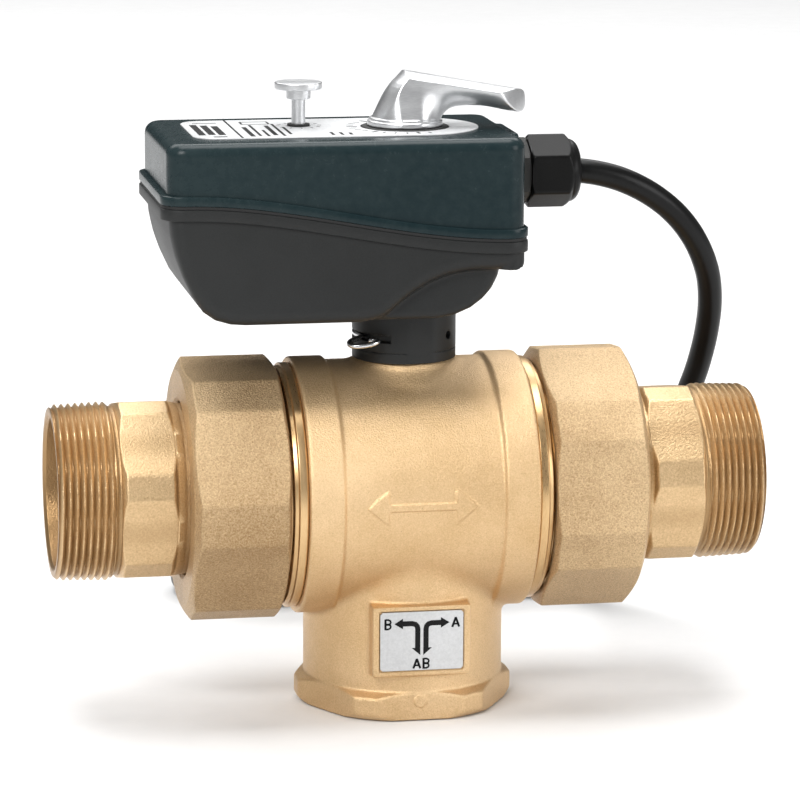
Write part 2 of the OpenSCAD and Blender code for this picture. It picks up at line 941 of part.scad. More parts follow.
// Side outline of the lever above its base ring.
module lever_side() {
  polygon([[-11.8, 195.6], [-11.2, 197.6], [-9.8, 200.5], [-7.5, 205], [-5.3, 208.3],
    [-3, 210.7], [-0.4, lever_top], [18, 210.3], [38.2, 206.7], [40, 206.3], [41.4, 205.3],
    [lever_reach - 0.4, 204], [lever_reach, 202.6], [lever_reach - 0.4, 201.1],
    [41.4, 199.8], [40, 198.9], [38.4, 198.6], [34.5, 199.1], [27.8, 200.6], [21.9, 201.1],
    [17.6, 201], [14.3, 200.1], [12.1, 198.2], [11.6, 195.6]]);
}

// Hand lever: base ring, leaning head and an arm that ends in a slanted cut.
module lever() {
  color([0.68, 0.69, 0.71])
  difference() {
    union() {
      up_turn([[0, 195.1], [12, 195.1], [12.5, 195.6], [12.5, 197], [11.8, 197.8], [0, 197.8]]);
      intersection() {
        side_extrude(-12, 12)
          lever_side();
        up_turn([[0, 195.6], [11.8, 195.6], [11.4, 199], [10.8, 203.4], [9.8, 207], [8, 214], [0, 214]]);
      }
      intersection() {
        side_extrude(-12, 12)
          lever_side();
        linear_extrude(far + 40)
          polygon([[-2, -7.3], [31.6, -7.3], [36.6, -3], [41, 3], [lever_reach, 7.3], [-2, 7.3]]);
      }
    }
    translate([-3.75, -3.75, 190])
      cube([7.5, 7.5, 13.4]);
    translate([0, 0, 200])
      rotate([-90, 0, 0])
        cylinder(h = 20, r = 1.7, $fn = 24);
  }
}

// Grub screw that holds the lever on the shaft, from the back.
module lever_screw() {
  color([0.72, 0.72, 0.74])
  translate([0, 3.9, 200])
    rotate([-90, 0, 0])
      difference() {
        cylinder(h = 6, r = 1.5, $fn = 24);
        translate([0, 0, 4])
          cylinder(h = 3, r = 0.8, $fn = 6);
      }
}

// Dark ring between the lever and the cover.
module lever_ring() {
  color([0.04, 0.04, 0.045])
    up_turn([[6.5, cover_z + 0.05], [14.5, cover_z + 0.05], [14.5, cover_z + 0.5],
      [14.1, cover_z + 0.75], [6.5, cover_z + 0.75]]);
}

// Push button that frees the gear train.
module release_button() {
  color([0.75, 0.76, 0.78])
  translate([knob_x, knob_y, 0])
    up_turn([[0, 172], [2.3, 172], [2.3, 179], [4.4, 179], [4.4, 180.6], [2.3, 180.6],
      [2.3, knob_z - 5.6], [4.1, knob_z - 5.6], [4.1, knob_z - 2.3], [7.4, knob_z - 2.3],
      [7.9, knob_z - 1.8], [7.9, knob_z - 0.6], [7.2, knob_z], [0, knob_z]], 48);
}

// Bush that guides the button through the cover.
module button_bush() {
  color([0.05, 0.05, 0.055])
  translate([knob_x, knob_y, 0])
    up_turn([[2.4, 188.6], [3.4, 188.6], [3.4, 194.85], [3.75, 194.85], [3.75, 195.5], [2.4, 195.5]], 36);
}

// Return spring under the button.
module button_spring() {
  color([0.7, 0.7, 0.72])
  translate([knob_x, knob_y, 0])
    sweep([for (i = [0:60]) let(a = 36 * i)
      [3.5 * cos(a), 3.5 * sin(a), 161 + 17.5 * i / 60]], 0.4, 6);
}

// Arm on the button that lifts the clutch.
module release_fork() {
  color([0.8, 0.8, 0.78])
  translate([knob_x, knob_y, 182])
    difference() {
      translate([-4, -4, 0])
        cube([20, 8, 2]);
      translate([0, 0, -1])
        cylinder(h = 4, r = 2.4, $fn = 36);
    }
}

// ---- cable gland and cable ----

module gland_turn(pts) {
  translate([0, gland_y, gland_z])
    rotate([0, 90, 0])
      rotate_extrude($fn = 48)
        polygon([for (p = pts) [p[1], p[0]]]);
}

// Gland body: shank through the cover, hexagon and clamping collet.
module gland_body() {
  color([0.16, 0.165, 0.17])
  difference() {
    union() {
      gland_turn([[28.4, 0], [28.4, 7.6], [28.8, 7.9], [39, 7.9], [39, 0]]);
      end_extrude(37.45, 42.4)
        translate([gland_y, gland_z])
          rotate(30)
            circle(r = 11.5, $fn = 6);
      gland_turn([[41, 0], [41, 8.3], [55, 8.3], [55.6, 7.7], [55.6, 0]]);
    }
    gland_turn([[28, 0], [28, 4.9], [45, 4.9], [45, 6.6], [56, 6.6], [56, 0]]);
  }
}

// Rubber seal squeezed on the cable.
module gland_seal() {
  color([0.05, 0.05, 0.05])
    gland_turn([[45.1, 4.35], [45.1, 6.5], [55.4, 6.5], [55.4, 4.35]]);
}

// Dome nut of the gland.
module gland_nut() {
  color([0.035, 0.035, 0.04])
  difference() {
    union() {
      end_extrude(42.6, 56.6)
        translate([gland_y, gland_z])
          rotate(30)
            circle(r = 12.4, $fn = 6);
      gland_turn([[56, 0], [56, 10.6], [57.4, 10.4], [58.9, 9.6], [59.8, 8.3], [60.3, 6.6], [60.3, 0]]);
    }
    gland_turn([[42, 0], [42, 8.6], [56.2, 8.6], [57, 7], [57, 5], [61, 5], [61, 0]]);
  }
}

// Locknut inside the cover.
module gland_locknut() {
  color([0.16, 0.165, 0.17])
  difference() {
    end_extrude(28.6, 31.5)
      translate([gland_y, gland_z])
        rotate(30)
          circle(r = 11.4, $fn = 6);
    translate([20, gland_y, gland_z])
      rotate([0, 90, 0])
        cylinder(h = 20, r = 8.05, $fn = 48);
  }
}

// Free length of the supply cable from the cover to the hank.
module cable_lead() {
  color([0.04, 0.04, 0.042])
    sweep(cable_route, cable_r, 12);
}

// Put-away length of the cable: four layers, the top one ending on the back run.
module cable_hank() {
  color([0.04, 0.04, 0.042])
  difference() {
    translate([0, 0, hank_z0])
      linear_extrude(4 * layer)
        difference() {
          hank_outline(hank_fold + cable_r);
          hank_outline(hank_fold - cable_r);
        }
    // the lead comes in under the right fold
    translate([hank_x1 + 0.1, hank_y0 - 10, 0])
      cube([60, 16, hank_z0 + layer + 2]);
    // the top layer stops on the back run
    translate([hank_end_x, hank_yc, hank_z0 + 3 * layer])
      cube([hank_x1 - hank_end_x - 6, 60, 20]);
  }
}

// Stadium outline of the hank at radius r.
module hank_outline(r) {
  translate([hank_x0, hank_yc - r])
    square([hank_x1 - hank_x0, 2 * r]);
  for (x = [hank_x0, hank_x1])
    translate([x, hank_yc])
      circle(r = r, $fn = 64);
}

// Strap round both runs of the hank.
module cable_tie() {
  color([0.05, 0.05, 0.055])
  difference() {
    translate([tie_x - 5, hank_y0 - cable_r - 1, 0])
      cube([10, 2 * (hank_fold + cable_r + 1), hank_z0 + 4 * layer + 0.9]);
    translate([tie_x - 6, hank_y0 - cable_r - 0.1, 0.8])
      cube([12, 2 * (hank_fold + cable_r + 0.1), hank_z0 + 4 * layer - 0.7]);
  }
}

// Bared cores at the end of the cable.
module cable_cores() {
  color([0.35, 0.2, 0.1])
  for (i = [-1:1])
    sweep([[hank_end_x + 0.2, hank_yc + hank_fold + 2.6 * i, core_z],
      [hank_end_x + 8, hank_yc + hank_fold + 3 * i, core_z],
      [hank_end_x + 18, hank_yc + hank_fold + 3.6 * i, core_z],
      [hank_end_x + 28, hank_yc + hank_fold + 3.8 * i, core_z]], 1.2, 8);
}

// ---- drawing ----
valve_body();
end_cap_a();
end_cap_b();
body_oring_a();
body_oring_b();
union_nut_a();
union_nut_b();
tailpiece_a();
tailpiece_b();
union_gasket_a();
union_gasket_b();
seat_ring_a();
seat_ring_b();
ball();
stem();
stem_oring_lower();
stem_oring_upper();
stem_bush();
port_label();
mounting_collar();
retaining_clip();
base_housing();
housing_gasket();
top_cover();
rating_plate();
cover_screw_1();
cover_screw_2();
cover_screw_3();
cover_screw_4();
gear_frame();
gear_plate();
motor();
motor_pinion();
gear_1();
gear_2();
output_gear();
output_shaft();
cam_lower();
cam_upper();
limit_switch_a();
limit_switch_b();
circuit_board();
terminal_block();
capacitor();
lever();
lever_screw();
lever_ring();
release_button();
button_bush();
button_spring();
release_fork();
gland_body();
gland_seal();
gland_nut();
gland_locknut();
cable_lead();
cable_hank();
cable_tie();
cable_cores();
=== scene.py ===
"""Motorised three-way diverter valve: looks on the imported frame."""
import json
import math

import bpy
import numpy as np
from mathutils import Matrix, Vector


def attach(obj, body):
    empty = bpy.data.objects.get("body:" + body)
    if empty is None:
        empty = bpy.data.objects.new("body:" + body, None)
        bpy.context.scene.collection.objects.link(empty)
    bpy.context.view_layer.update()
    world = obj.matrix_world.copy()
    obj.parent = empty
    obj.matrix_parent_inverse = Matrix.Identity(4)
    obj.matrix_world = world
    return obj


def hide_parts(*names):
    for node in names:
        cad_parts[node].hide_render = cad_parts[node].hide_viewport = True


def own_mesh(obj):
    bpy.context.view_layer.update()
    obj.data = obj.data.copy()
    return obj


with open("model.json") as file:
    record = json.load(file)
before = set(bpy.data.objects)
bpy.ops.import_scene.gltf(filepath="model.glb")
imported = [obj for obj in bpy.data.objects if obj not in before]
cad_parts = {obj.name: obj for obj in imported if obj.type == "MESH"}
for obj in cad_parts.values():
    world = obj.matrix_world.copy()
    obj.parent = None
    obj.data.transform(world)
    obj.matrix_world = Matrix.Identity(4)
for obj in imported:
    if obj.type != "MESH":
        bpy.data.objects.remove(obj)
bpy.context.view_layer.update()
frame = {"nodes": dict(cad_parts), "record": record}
NODES = frame["nodes"]
MM = 0.001

# ---- sizes in mm
# Height of the axis of the run
RUN_Z = 74.4
# Height of the wire clip in its groove
CLIP_Z = 125.6
# Cover: top, left and right side, half depth
COVER_Z = 194.3
COVER_X = (-83.4, 34.6)
COVER_Y = 34.0
# Height of the parting line at its left and right end
PART_L, PART_R = 174.0, 161.0
# Axis of the cable gland
GLAND_Y, GLAND_Z = 6.0, 178.0
# Push button: axis and top
KNOB_X, KNOB_Y, KNOB_Z = -34.8, 6.0, 209.4
CABLE_R = 4.2
# Pitch of the pipe threads, 11 to the inch
PITCH = 2.309
# Tailpiece: where its outer thread starts, its end face and its crest radius
THREAD_X, TAIL_X, THREAD_R = 99.4, 119.2, 29.97
# Union nut: inner and outer face
NUT_X = (44.3, 76.2)

# ---- camera
# Turn, height angle and roll of the view, distance and point looked at in metres
YAW, ELEV, ROLL = math.radians(-10.63), math.radians(11.35), math.radians(0.3)
DIST = 1.345
TARGET = Vector((-0.00115, 0.0, 0.10205))
cam_data = bpy.data.cameras.new("camera")
cam_data.lens = 180
cam_data.sensor_width = 36
cam_data.clip_end = 50
camera = bpy.data.objects.new("camera", cam_data)
bpy.context.scene.collection.objects.link(camera)
bpy.context.scene.camera = camera
back = Vector((math.sin(YAW) * math.cos(ELEV), -math.cos(YAW) * math.cos(ELEV), math.sin(ELEV)))
camera.location = TARGET + DIST * back
camera.rotation_euler = (
    back.to_track_quat("Z", "Y") @ Matrix.Rotation(ROLL, 3, "Z").to_quaternion()
).to_euler()


# ---- materials
def srgb(r, g, b):
    """Linear colour from 0..255 screen values."""
    def lin(c):
        c /= 255
        return c / 12.92 if c <= 0.04045 else ((c + 0.055) / 1.055) ** 2.4
    return (lin(r), lin(g), lin(b), 1.0)


M = {}


def material(
    name, dark, light, metallic, rough, tint_scale, grain, bump, bump_depth,
    coat=0.0, specular=0.5, stretch=None, speck=None, second=None, sheen=0.0, root_shade=None,
):
    """Layered procedural material: large tint noise, fine grain in colour, roughness and bump.

    Colours are 0..255 screen values. rough is the lowest and highest roughness, bump_depth is in mm.
    stretch scales the noise along x, y and z.
    speck is (scale, low, high, colour): small dark pits. second is (scale, depth): a coarser bump.
    The root shade argument is (inner radius, outer radius, colour) about the run of the pipe: painted shade
    between the threads, full at the inner radius and inside it.
    """
    mat = bpy.data.materials.new(name)
    mat.use_nodes = True
    tree = mat.node_tree

    def feed(node, inputs):
        """Links each input to the socket given for it, or sets it to the value given."""
        for key, value in inputs.items():
            if isinstance(value, bpy.types.NodeSocket):
                tree.links.new(value, node.inputs[key])
            else:
                node.inputs[key].default_value = value

    def add(kind, inputs, operation=None):
        node = tree.nodes.new("ShaderNode" + kind)
        if operation:
            node.operation = operation
        feed(node, inputs)
        return node

    def noise(scale, detail, rough_value=0.55):
        return add("TexNoise", {"Scale": scale, "Detail": detail, "Roughness": rough_value,
                                "Vector": where}).outputs["Fac"]

    def spread(value, low, high, to_low=0.0, to_high=1.0):
        return add("MapRange", {"From Min": low, "From Max": high, "To Min": to_low, "To Max": to_high,
                                "Value": value}).outputs["Result"]

    def overlay(colour, patch, amount):
        """Colour with a patch of another colour over it, as strong as amount."""
        node = tree.nodes.new("ShaderNodeMix")
        node.data_type = "RGBA"
        feed(node, {"B": patch, "Factor": amount, "A": colour})
        return node.outputs["Result"]

    place = add("TexCoord", {}).outputs["Object"]
    where = place
    if stretch:
        where = add("Mapping", {"Scale": stretch, "Vector": place}).outputs["Vector"]
    tint = noise(tint_scale, 4)
    fine = noise(grain, 3, 0.7)
    half = add("Math", {0: tint, 1: 0.55}, "MULTIPLY").outputs[0]
    blend = add("Math", {0: fine, 1: 0.45, 2: half}, "MULTIPLY_ADD").outputs[0]
    ramp = add("ValToRGB", {"Fac": blend})
    for stop, position, shade in zip(ramp.color_ramp.elements, (0.38, 0.62), (srgb(*dark), srgb(*light))):
        stop.position = position
        stop.color = shade
    colour = ramp.outputs["Color"]
    if speck:
        scale, low, high, pit = speck
        colour = overlay(colour, srgb(*pit), spread(noise(scale, 2, 0.8), low, high))
    # painted shade in the thread roots: the colour darkens from the outer radius to the inner one about the
    # run axis, and stays dark inside it, bore included
    if root_shade:
        inner, outer, shade = root_shade
        away = add("VectorMath", {0: place, 1: (0, 0, RUN_Z * MM)}, "SUBTRACT").outputs["Vector"]
        across = add("VectorMath", {0: away, 1: (0, 1, 1)}, "MULTIPLY").outputs["Vector"]
        radius = add("VectorMath", {0: across}, "LENGTH").outputs["Value"]
        colour = overlay(colour, srgb(*shade), spread(radius, outer * MM, inner * MM))
    bumps = {"Strength": bump, "Distance": bump_depth * MM, "Height": fine}
    if second:
        scale, depth = second
        bumps["Normal"] = add("Bump", {"Strength": 1.0, "Distance": depth * MM,
                                       "Height": noise(scale, 2)}).outputs["Normal"]
    feed(tree.nodes["Principled BSDF"], {
        "Base Color": colour, "Metallic": metallic, "Coat Weight": coat, "Coat Roughness": 0.05,
        "Specular IOR Level": specular, "Sheen Weight": sheen,
        "Roughness": spread(blend, 0.35, 0.65, *rough), "Normal": add("Bump", bumps).outputs["Normal"]})
    M[name] = mat


material(
    "cast_brass", (200, 166, 120), (230, 199, 156), 0.78, (0.34, 0.46), 22, 1900, 1.0, 0.22,
    speck=(2300, 0.66, 0.76, (140, 112, 76)), second=(1400, 0.05))
material(
    "forged_brass", (152, 122, 84), (222, 194, 153), 0.74, (0.36, 0.5), 10, 1700, 1.0, 0.42,
    speck=(2100, 0.6, 0.72, (130, 102, 68)), second=(1300, 0.1))
# tailpiece threads, with painted shade in the thread roots and the bore
material(
    "thread_brass", (184, 152, 110), (226, 196, 152), 0.8, (0.3, 0.42), 12, 1500, 0.8, 0.2,
    second=(1400, 0.06), root_shade=(28.1, 29.5, (158, 126, 86)))
material(
    "machined_brass", (200, 164, 116), (222, 188, 140), 0.9, (0.26, 0.36), 30, 700, 0.3, 0.05,
    stretch=(6, 0.6, 0.6))
material(
    "black_plastic", (28, 29, 29), (36, 37, 37), 0.0, (0.42, 0.52), 20, 2200, 0.35, 0.05,
    specular=0.25, second=(900, 0.01))
material(
    "smoked_cover", (22, 36, 39), (34, 46, 48), 0.0, (0.22, 0.3), 9, 300, 0.02, 0.02,
    specular=0.16)
material(
    "gasket_black", (10, 10, 10), (18, 18, 18), 0.0, (0.6, 0.7), 30, 900, 0.2, 0.03)
material(
    "satin_chrome", (206, 207, 209), (226, 227, 228), 0.9, (0.3, 0.38), 40, 900, 0.1, 0.015,
    stretch=(0.5, 3, 3))
material(
    "bright_steel", (180, 181, 184), (214, 215, 217), 1.0, (0.16, 0.26), 40, 900, 0.2, 0.02,
    stretch=(1, 1, 0.4))
material(
    "label_silver", (184, 185, 186), (204, 205, 206), 0.25, (0.42, 0.5), 30, 1200, 0.15, 0.015)
material(
    "print_black", (8, 8, 9), (15, 15, 16), 0.0, (0.5, 0.6), 60, 1500, 0.1, 0.01, specular=0.2)
material(
    "gland_grey", (38, 38, 37), (52, 52, 50), 0.0, (0.45, 0.55), 60, 1500, 0.4, 0.06, specular=0.25,
    second=(700, 0.03))
material(
    "gland_black", (9, 9, 9), (15, 15, 15), 0.0, (0.3, 0.4), 30, 1200, 0.15, 0.03, specular=0.15)
material(
    "cable_black", (7, 7, 7), (13, 13, 13), 0.0, (0.3, 0.4), 60, 1100, 0.25, 0.03,
    specular=0.2)
material(
    "tie_black", (26, 26, 28), (44, 44, 46), 0.0, (0.8, 0.9), 120, 2400, 0.8, 0.15, sheen=0.3)
material(
    "rubber", (16, 16, 16), (26, 26, 26), 0.0, (0.6, 0.75), 60, 1300, 0.4, 0.05)
material(
    "fibre", (150, 148, 140), (180, 178, 170), 0.0, (0.75, 0.85), 200, 1800, 0.5, 0.06)
material(
    "ptfe", (226, 226, 220), (240, 240, 236), 0.0, (0.35, 0.45), 30, 900, 0.1, 0.02)
material(
    "plated_ball", (186, 188, 192), (206, 208, 211), 1.0, (0.08, 0.14), 30, 900, 0.05, 0.01)
material(
    "plate_steel", (150, 152, 154), (186, 187, 188), 0.95, (0.3, 0.42), 50, 900, 0.2, 0.03)
material(
    "gear_metal", (186, 156, 96), (214, 184, 122), 0.95, (0.28, 0.4), 60, 900, 0.2, 0.03)
material(
    "gear_plastic", (206, 205, 194), (224, 223, 212), 0.0, (0.45, 0.55), 50, 1100, 0.2, 0.03)
material(
    "cam_red", (150, 40, 26), (176, 54, 36), 0.0, (0.4, 0.5), 50, 1100, 0.2, 0.03)
material(
    "board_green", (18, 66, 34), (28, 86, 46), 0.0, (0.3, 0.4), 80, 900, 0.2, 0.03, coat=0.2)
material(
    "terminal_grey", (66, 78, 86), (82, 94, 102), 0.0, (0.45, 0.55), 50, 1100, 0.2, 0.03)
material(
    "capacitor_blue", (24, 44, 104), (34, 58, 124), 0.0, (0.3, 0.4), 50, 1100, 0.1, 0.03, coat=0.3)
material(
    "core_brown", (86, 50, 26), (104, 64, 36), 0.0, (0.4, 0.5), 60, 1100, 0.2, 0.02)
material(
    "core_blue", (30, 60, 140), (44, 78, 160), 0.0, (0.4, 0.5), 60, 1100, 0.2, 0.02)
material(
    "core_grey", (120, 120, 122), (140, 140, 142), 0.0, (0.4, 0.5), 60, 1100, 0.2, 0.02)
material(
    "copper", (190, 112, 70), (216, 140, 96), 1.0, (0.25, 0.35), 200, 3000, 0.5, 0.05)
material(
    "floor", (220.6, 220.6, 220.6), (224.6, 224.6, 224.6), 0.0, (0.75, 0.85), 3, 60, 0.02, 0.02, specular=0.0)


# ---- mesh tools
def add_mesh(name, verts, faces, mat, body, slot, replaces=(), sharp=38.0):
    """New piece from points in mm; it rides on body and stands for the named CAD nodes."""
    mesh = bpy.data.meshes.new(name)
    verts = np.asarray(verts, dtype=np.float64) * MM
    if isinstance(faces, np.ndarray):
        n = len(faces)
        mesh.vertices.add(len(verts))
        mesh.vertices.foreach_set("co", verts.astype(np.float32).ravel())
        mesh.loops.add(n * 4)
        mesh.loops.foreach_set("vertex_index", faces.astype(np.int32).ravel())
        mesh.polygons.add(n)
        mesh.polygons.foreach_set("loop_start", np.arange(0, n * 4, 4, dtype=np.int32))
        mesh.update(calc_edges=True)
        mesh.validate()
    else:
        mesh.from_pydata([tuple(v) for v in verts], [], [tuple(int(i) for i in f) for f in faces])
        mesh.update()
    mesh.polygons.foreach_set("use_smooth", np.ones(len(mesh.polygons), dtype=bool))
    if sharp:
        mesh.set_sharp_from_angle(angle=math.radians(sharp))
    mesh.materials.append(M[mat])
    obj = bpy.data.objects.new(name, mesh)
    bpy.context.scene.collection.objects.link(obj)
    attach(obj, body)
    if replaces:
        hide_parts(*replaces)
    return obj


def join_parts(parts):
    """One (verts, faces) from several."""
    verts, faces, base = [], [], 0
    for v, f in parts:
        verts.append(np.asarray(v, dtype=np.float64))
        faces += [[int(i) + base for i in q] for q in f]
        base += len(v)
    return np.vstack(verts), faces


def rings(grid, wrap=True, caps=(False, False), loop=False):
    """Faces between rows of equal point rings. wrap closes each ring, loop joins last row to first."""
    grid = np.asarray(grid, dtype=np.float64)
    n, k = grid.shape[:2]
    rows = np.arange(n if loop else n - 1)
    cols = np.arange(k if wrap else k - 1)
    i, j = np.meshgrid(rows, cols, indexing="ij")
    a = i * k + j
    b = ((i + 1) % n) * k + j
    c = ((i + 1) % n) * k + (j + 1) % k
    d = i * k + (j + 1) % k
    faces = np.stack([a, b, c, d], axis=-1).reshape(-1, 4)
    if not any(caps):
        return grid.reshape(-1, 3), faces
    faces = [list(f) for f in faces]
    if caps[0]:
        faces.append(list(range(k)))
    if caps[1]:
        faces.append([(n - 1) * k + q for q in range(k - 1, -1, -1)])
    return grid.reshape(-1, 3), faces


def cut_hex(phi, radius, flat_deg, turn):
    """Polar radius of a hexagon with its corners cut off; phi and turn in degrees."""
    d = (phi - turn) % 60
    d = np.minimum(d, 60 - d)
    flat = radius * math.cos(math.radians(flat_deg / 2)) / np.cos(np.radians(d))
    corner_half = 30 - flat_deg / 2
    corner = radius * math.cos(math.radians(corner_half)) / np.cos(np.radians(30 - d))
    return np.minimum(flat, corner)


def ease(t):
    """0 up to t = 0, 1 from t = 1, smooth between."""
    t = np.clip(t, 0, 1)
    return t * t * (3 - 2 * t)


def saw(turns):
    """Triangle wave for a thread: 1 at whole turns, 0 halfway between."""
    return np.abs(2 * (turns - np.floor(turns)) - 1)


def soft_min(a, b, k):
    """Smaller of two distances with a fillet about k wide between them."""
    h = np.maximum(k - np.abs(a - b), 0) / k
    return np.minimum(a, b) - h * h * k * 0.25


def soft_max(a, b, k):
    """Larger of two distances, with the edge between them rounded."""
    return -soft_min(-a, -b, k)


def along_x(x, r, phi, y0=0.0, z0=RUN_Z, side=1):
    """Ring at x; phi counts from +Y towards +Z. side -1 mirrors the part to the other end."""
    a = np.radians(phi)
    r = np.broadcast_to(r, phi.shape)
    pts = np.stack([np.full(phi.shape, x * side), y0 + r * np.cos(a), z0 + r * np.sin(a)], axis=-1)
    return pts[::-1] if side > 0 else pts


def polygon_distance(px, pz, poly):
    """Signed distance to a closed polygon, negative inside."""
    poly = np.asarray(poly, dtype=np.float64)
    d = np.full(px.shape, 1e9)
    s = np.ones(px.shape)
    n = len(poly)
    for i in range(n):
        a, b = poly[i], poly[i - 1]
        ex, ez = b - a
        wx, wz = px - a[0], pz - a[1]
        t = np.clip((wx * ex + wz * ez) / (ex * ex + ez * ez), 0, 1)
        d = np.minimum(d, (wx - t * ex) ** 2 + (wz - t * ez) ** 2)
        c1, c2, c3 = pz >= a[1], pz < b[1], ex * wz > ez * wx
        flip = (c1 & c2 & c3) | (~c1 & ~c2 & ~c3)
        s = np.where(flip, -s, s)
    return s * np.sqrt(d)


def round_max(a, b, r):
    """Intersection of two half spaces with an exact edge radius."""
    qa, qb = a + r, b + r
    return np.hypot(np.maximum(qa, 0), np.maximum(qb, 0)) + np.minimum(np.maximum(qa, qb), 0) - r


def flat_sides(x, y, degrees):
    """Largest distance from the vertical axis over several directions."""
    return np.max([np.abs(x * math.cos(a) + y * math.sin(a)) for a in np.radians(degrees)], axis=0)


def box_distance(x, y, z, lo, hi, r=0.0):
    """Signed distance to a box with edge radius r."""
    c = [(lo[i] + hi[i]) / 2 for i in range(3)]
    h = [(hi[i] - lo[i]) / 2 - r for i in range(3)]
    q = [np.abs(v - c[i]) - h[i] for i, v in enumerate((x, y, z))]
    outside = np.sqrt(sum(np.maximum(v, 0) ** 2 for v in q))
    return outside + np.minimum(np.maximum(np.maximum(q[0], q[1]), q[2]), 0) - r


def plan_distance(x, y, x0, x1, half, rad):
    """Signed distance to a rectangle with round corners."""
    return round_max(np.abs(x - (x0 + x1) / 2) - (x1 - x0) / 2, np.abs(y) - half, rad)


def surface(f, lo, hi, h):
    """Quad mesh of f = 0 (negative inside): surface nets, then pulled onto the surface."""
    lo, hi = np.asarray(lo, float), np.asarray(hi, float)
    n = np.ceil((hi - lo) / h).astype(int) + 1
    ax = [lo[i] + h * np.arange(n[i]) for i in range(3)]
    X, Y, Z = np.meshgrid(*ax, indexing="ij")
    V = f(X, Y, Z).astype(np.float32)
    S = V < 0
    shape = tuple(n - 1)
    total = int(np.prod(shape))
    acc = np.zeros((total, 3))
    cnt = np.zeros(total)
    stride = (shape[1] * shape[2], shape[2], 1)
    quads = []
    for a in range(3):
        b, c = (a + 1) % 3, (a + 2) % 3
        s0 = [slice(None)] * 3
        s1 = [slice(None)] * 3
        s0[a], s1[a] = slice(0, -1), slice(1, None)
        change = S[tuple(s0)] != S[tuple(s1)]
        for axis in (b, c):
            edge = [slice(None)] * 3
            edge[axis] = 0
            change[tuple(edge)] = False
            edge[axis] = -1
            change[tuple(edge)] = False
        idx = np.argwhere(change)
        if len(idx) == 0:
            continue
        v0 = V[idx[:, 0], idx[:, 1], idx[:, 2]]
        nxt = idx.copy()
        nxt[:, a] += 1
        v1 = V[nxt[:, 0], nxt[:, 1], nxt[:, 2]]
        t = v0 / (v0 - v1)
        p = idx.astype(float)
        p[:, a] += t
        inside_first = v0 < 0
        corners = []
        for db, dc in ((0, 0), (1, 0), (1, 1), (0, 1)):
            cell = idx.copy()
            cell[:, b] -= db
            cell[:, c] -= dc
            flat = cell[:, 0] * stride[0] + cell[:, 1] * stride[1] + cell[:, 2] * stride[2]
            np.add.at(acc, flat, p)
            np.add.at(cnt, flat, 1)
            corners.append(flat)
        q = np.stack(corners, axis=1)
        q[~inside_first] = q[~inside_first][:, ::-1]
        quads.append(q)
    used = np.nonzero(cnt)[0]
    remap = np.full(total, -1)
    remap[used] = np.arange(len(used))
    P = lo + h * acc[used] / cnt[used, None]
    faces = remap[np.vstack(quads)]
    e = 0.05 * h
    for _ in range(3):
        x, y, z = P.T
        val = f(x, y, z)
        g = np.stack([f(x + e, y, z) - f(x - e, y, z), f(x, y + e, z) - f(x, y - e, z),
                      f(x, y, z + e) - f(x, y, z - e)], axis=1) / (2 * e)
        g2 = np.maximum((g * g).sum(1), 0.2)
        move = np.clip(val / g2, -0.4 * h, 0.4 * h)
        P = P - g * move[:, None]
    return P, faces


def tube(path, radius, k=20):
    """Round capped tube along points in mm."""
    path = np.asarray(path, dtype=np.float64)
    n = len(path)
    tan = np.gradient(path, axis=0)
    tan /= np.linalg.norm(tan, axis=1)[:, None]
    side = np.cross(tan[0], [0, 0, 1.0] if abs(tan[0][2]) < 0.9 else [0, 1.0, 0])
    side /= np.linalg.norm(side)
    ang = np.linspace(0, 2 * math.pi, k, endpoint=False)
    out = []
    for i in range(n):
        side = side - tan[i] * side.dot(tan[i])
        side /= np.linalg.norm(side)
        up = np.cross(tan[i], side)
        out.append(path[i] + radius * (np.cos(ang)[:, None] * side + np.sin(ang)[:, None] * up))
    return rings(np.array(out)[:, ::-1], caps=(True, True))


def smooth_path(points, step):
    """Catmull-Rom curve through the points, about one point per step."""
    p = np.asarray(points, dtype=np.float64)
    ext = np.vstack([2 * p[0] - p[1], p, 2 * p[-1] - p[-2]])
    out = []
    for i in range(1, len(ext) - 2):
        a, b, c, d = ext[i - 1:i + 3]
        m = max(1, int(round(np.linalg.norm(c - b) / step)))
        for t in np.linspace(0, 1, m, endpoint=False):
            out.append(0.5 * (2 * b + (c - a) * t + (2 * a - 5 * b + 4 * c - d) * t * t
                              + (3 * b - a - 3 * c + d) * t ** 3))
    out.append(p[-1])
    return np.array(out)


def turned_z(profile, cx=0.0, cy=0.0, k=96):
    """Solid of revolution about a vertical axis from (r, z) points, closed at r = 0 ends by caps."""
    a = np.linspace(0, 2 * math.pi, k, endpoint=False)
    grid = [np.stack([cx + r * np.cos(a), cy + r * np.sin(a), np.full(k, z)], axis=-1) for r, z in profile]
    return rings(grid, caps=(True, True))


def rounded(profile, radius=0.4, steps_n=4):
    """Profile with its inner corners rounded."""
    p = [np.array(q, float) for q in profile]
    out = [p[0]]
    for a, b, c in zip(p[:-2], p[1:-1], p[2:]):
        u, v = a - b, c - b
        lu, lv = np.linalg.norm(u), np.linalg.norm(v)
        if lu < 1e-6 or lv < 1e-6:
            continue
        d = min(radius, 0.45 * lu, 0.45 * lv)
        s, e = b + u / lu * d, b + v / lv * d
        for t in np.linspace(0, 1, steps_n + 1):
            out.append((1 - t) ** 2 * s + 2 * t * (1 - t) * b + t * t * e)
    out.append(p[-1])
    return [tuple(q) for q in out]


def lathe_z(profile, cx=0.0, cy=0.0, k=120):
    """Closed ring of revolution about a vertical axis from (r, z) points."""
    a = np.linspace(0, 2 * math.pi, k, endpoint=False)
    grid = [np.stack([cx + r * np.cos(a), cy + r * np.sin(a), np.full(k, z)], axis=-1)
            for r, z in profile[::-1]]
    return rings(grid, loop=True)


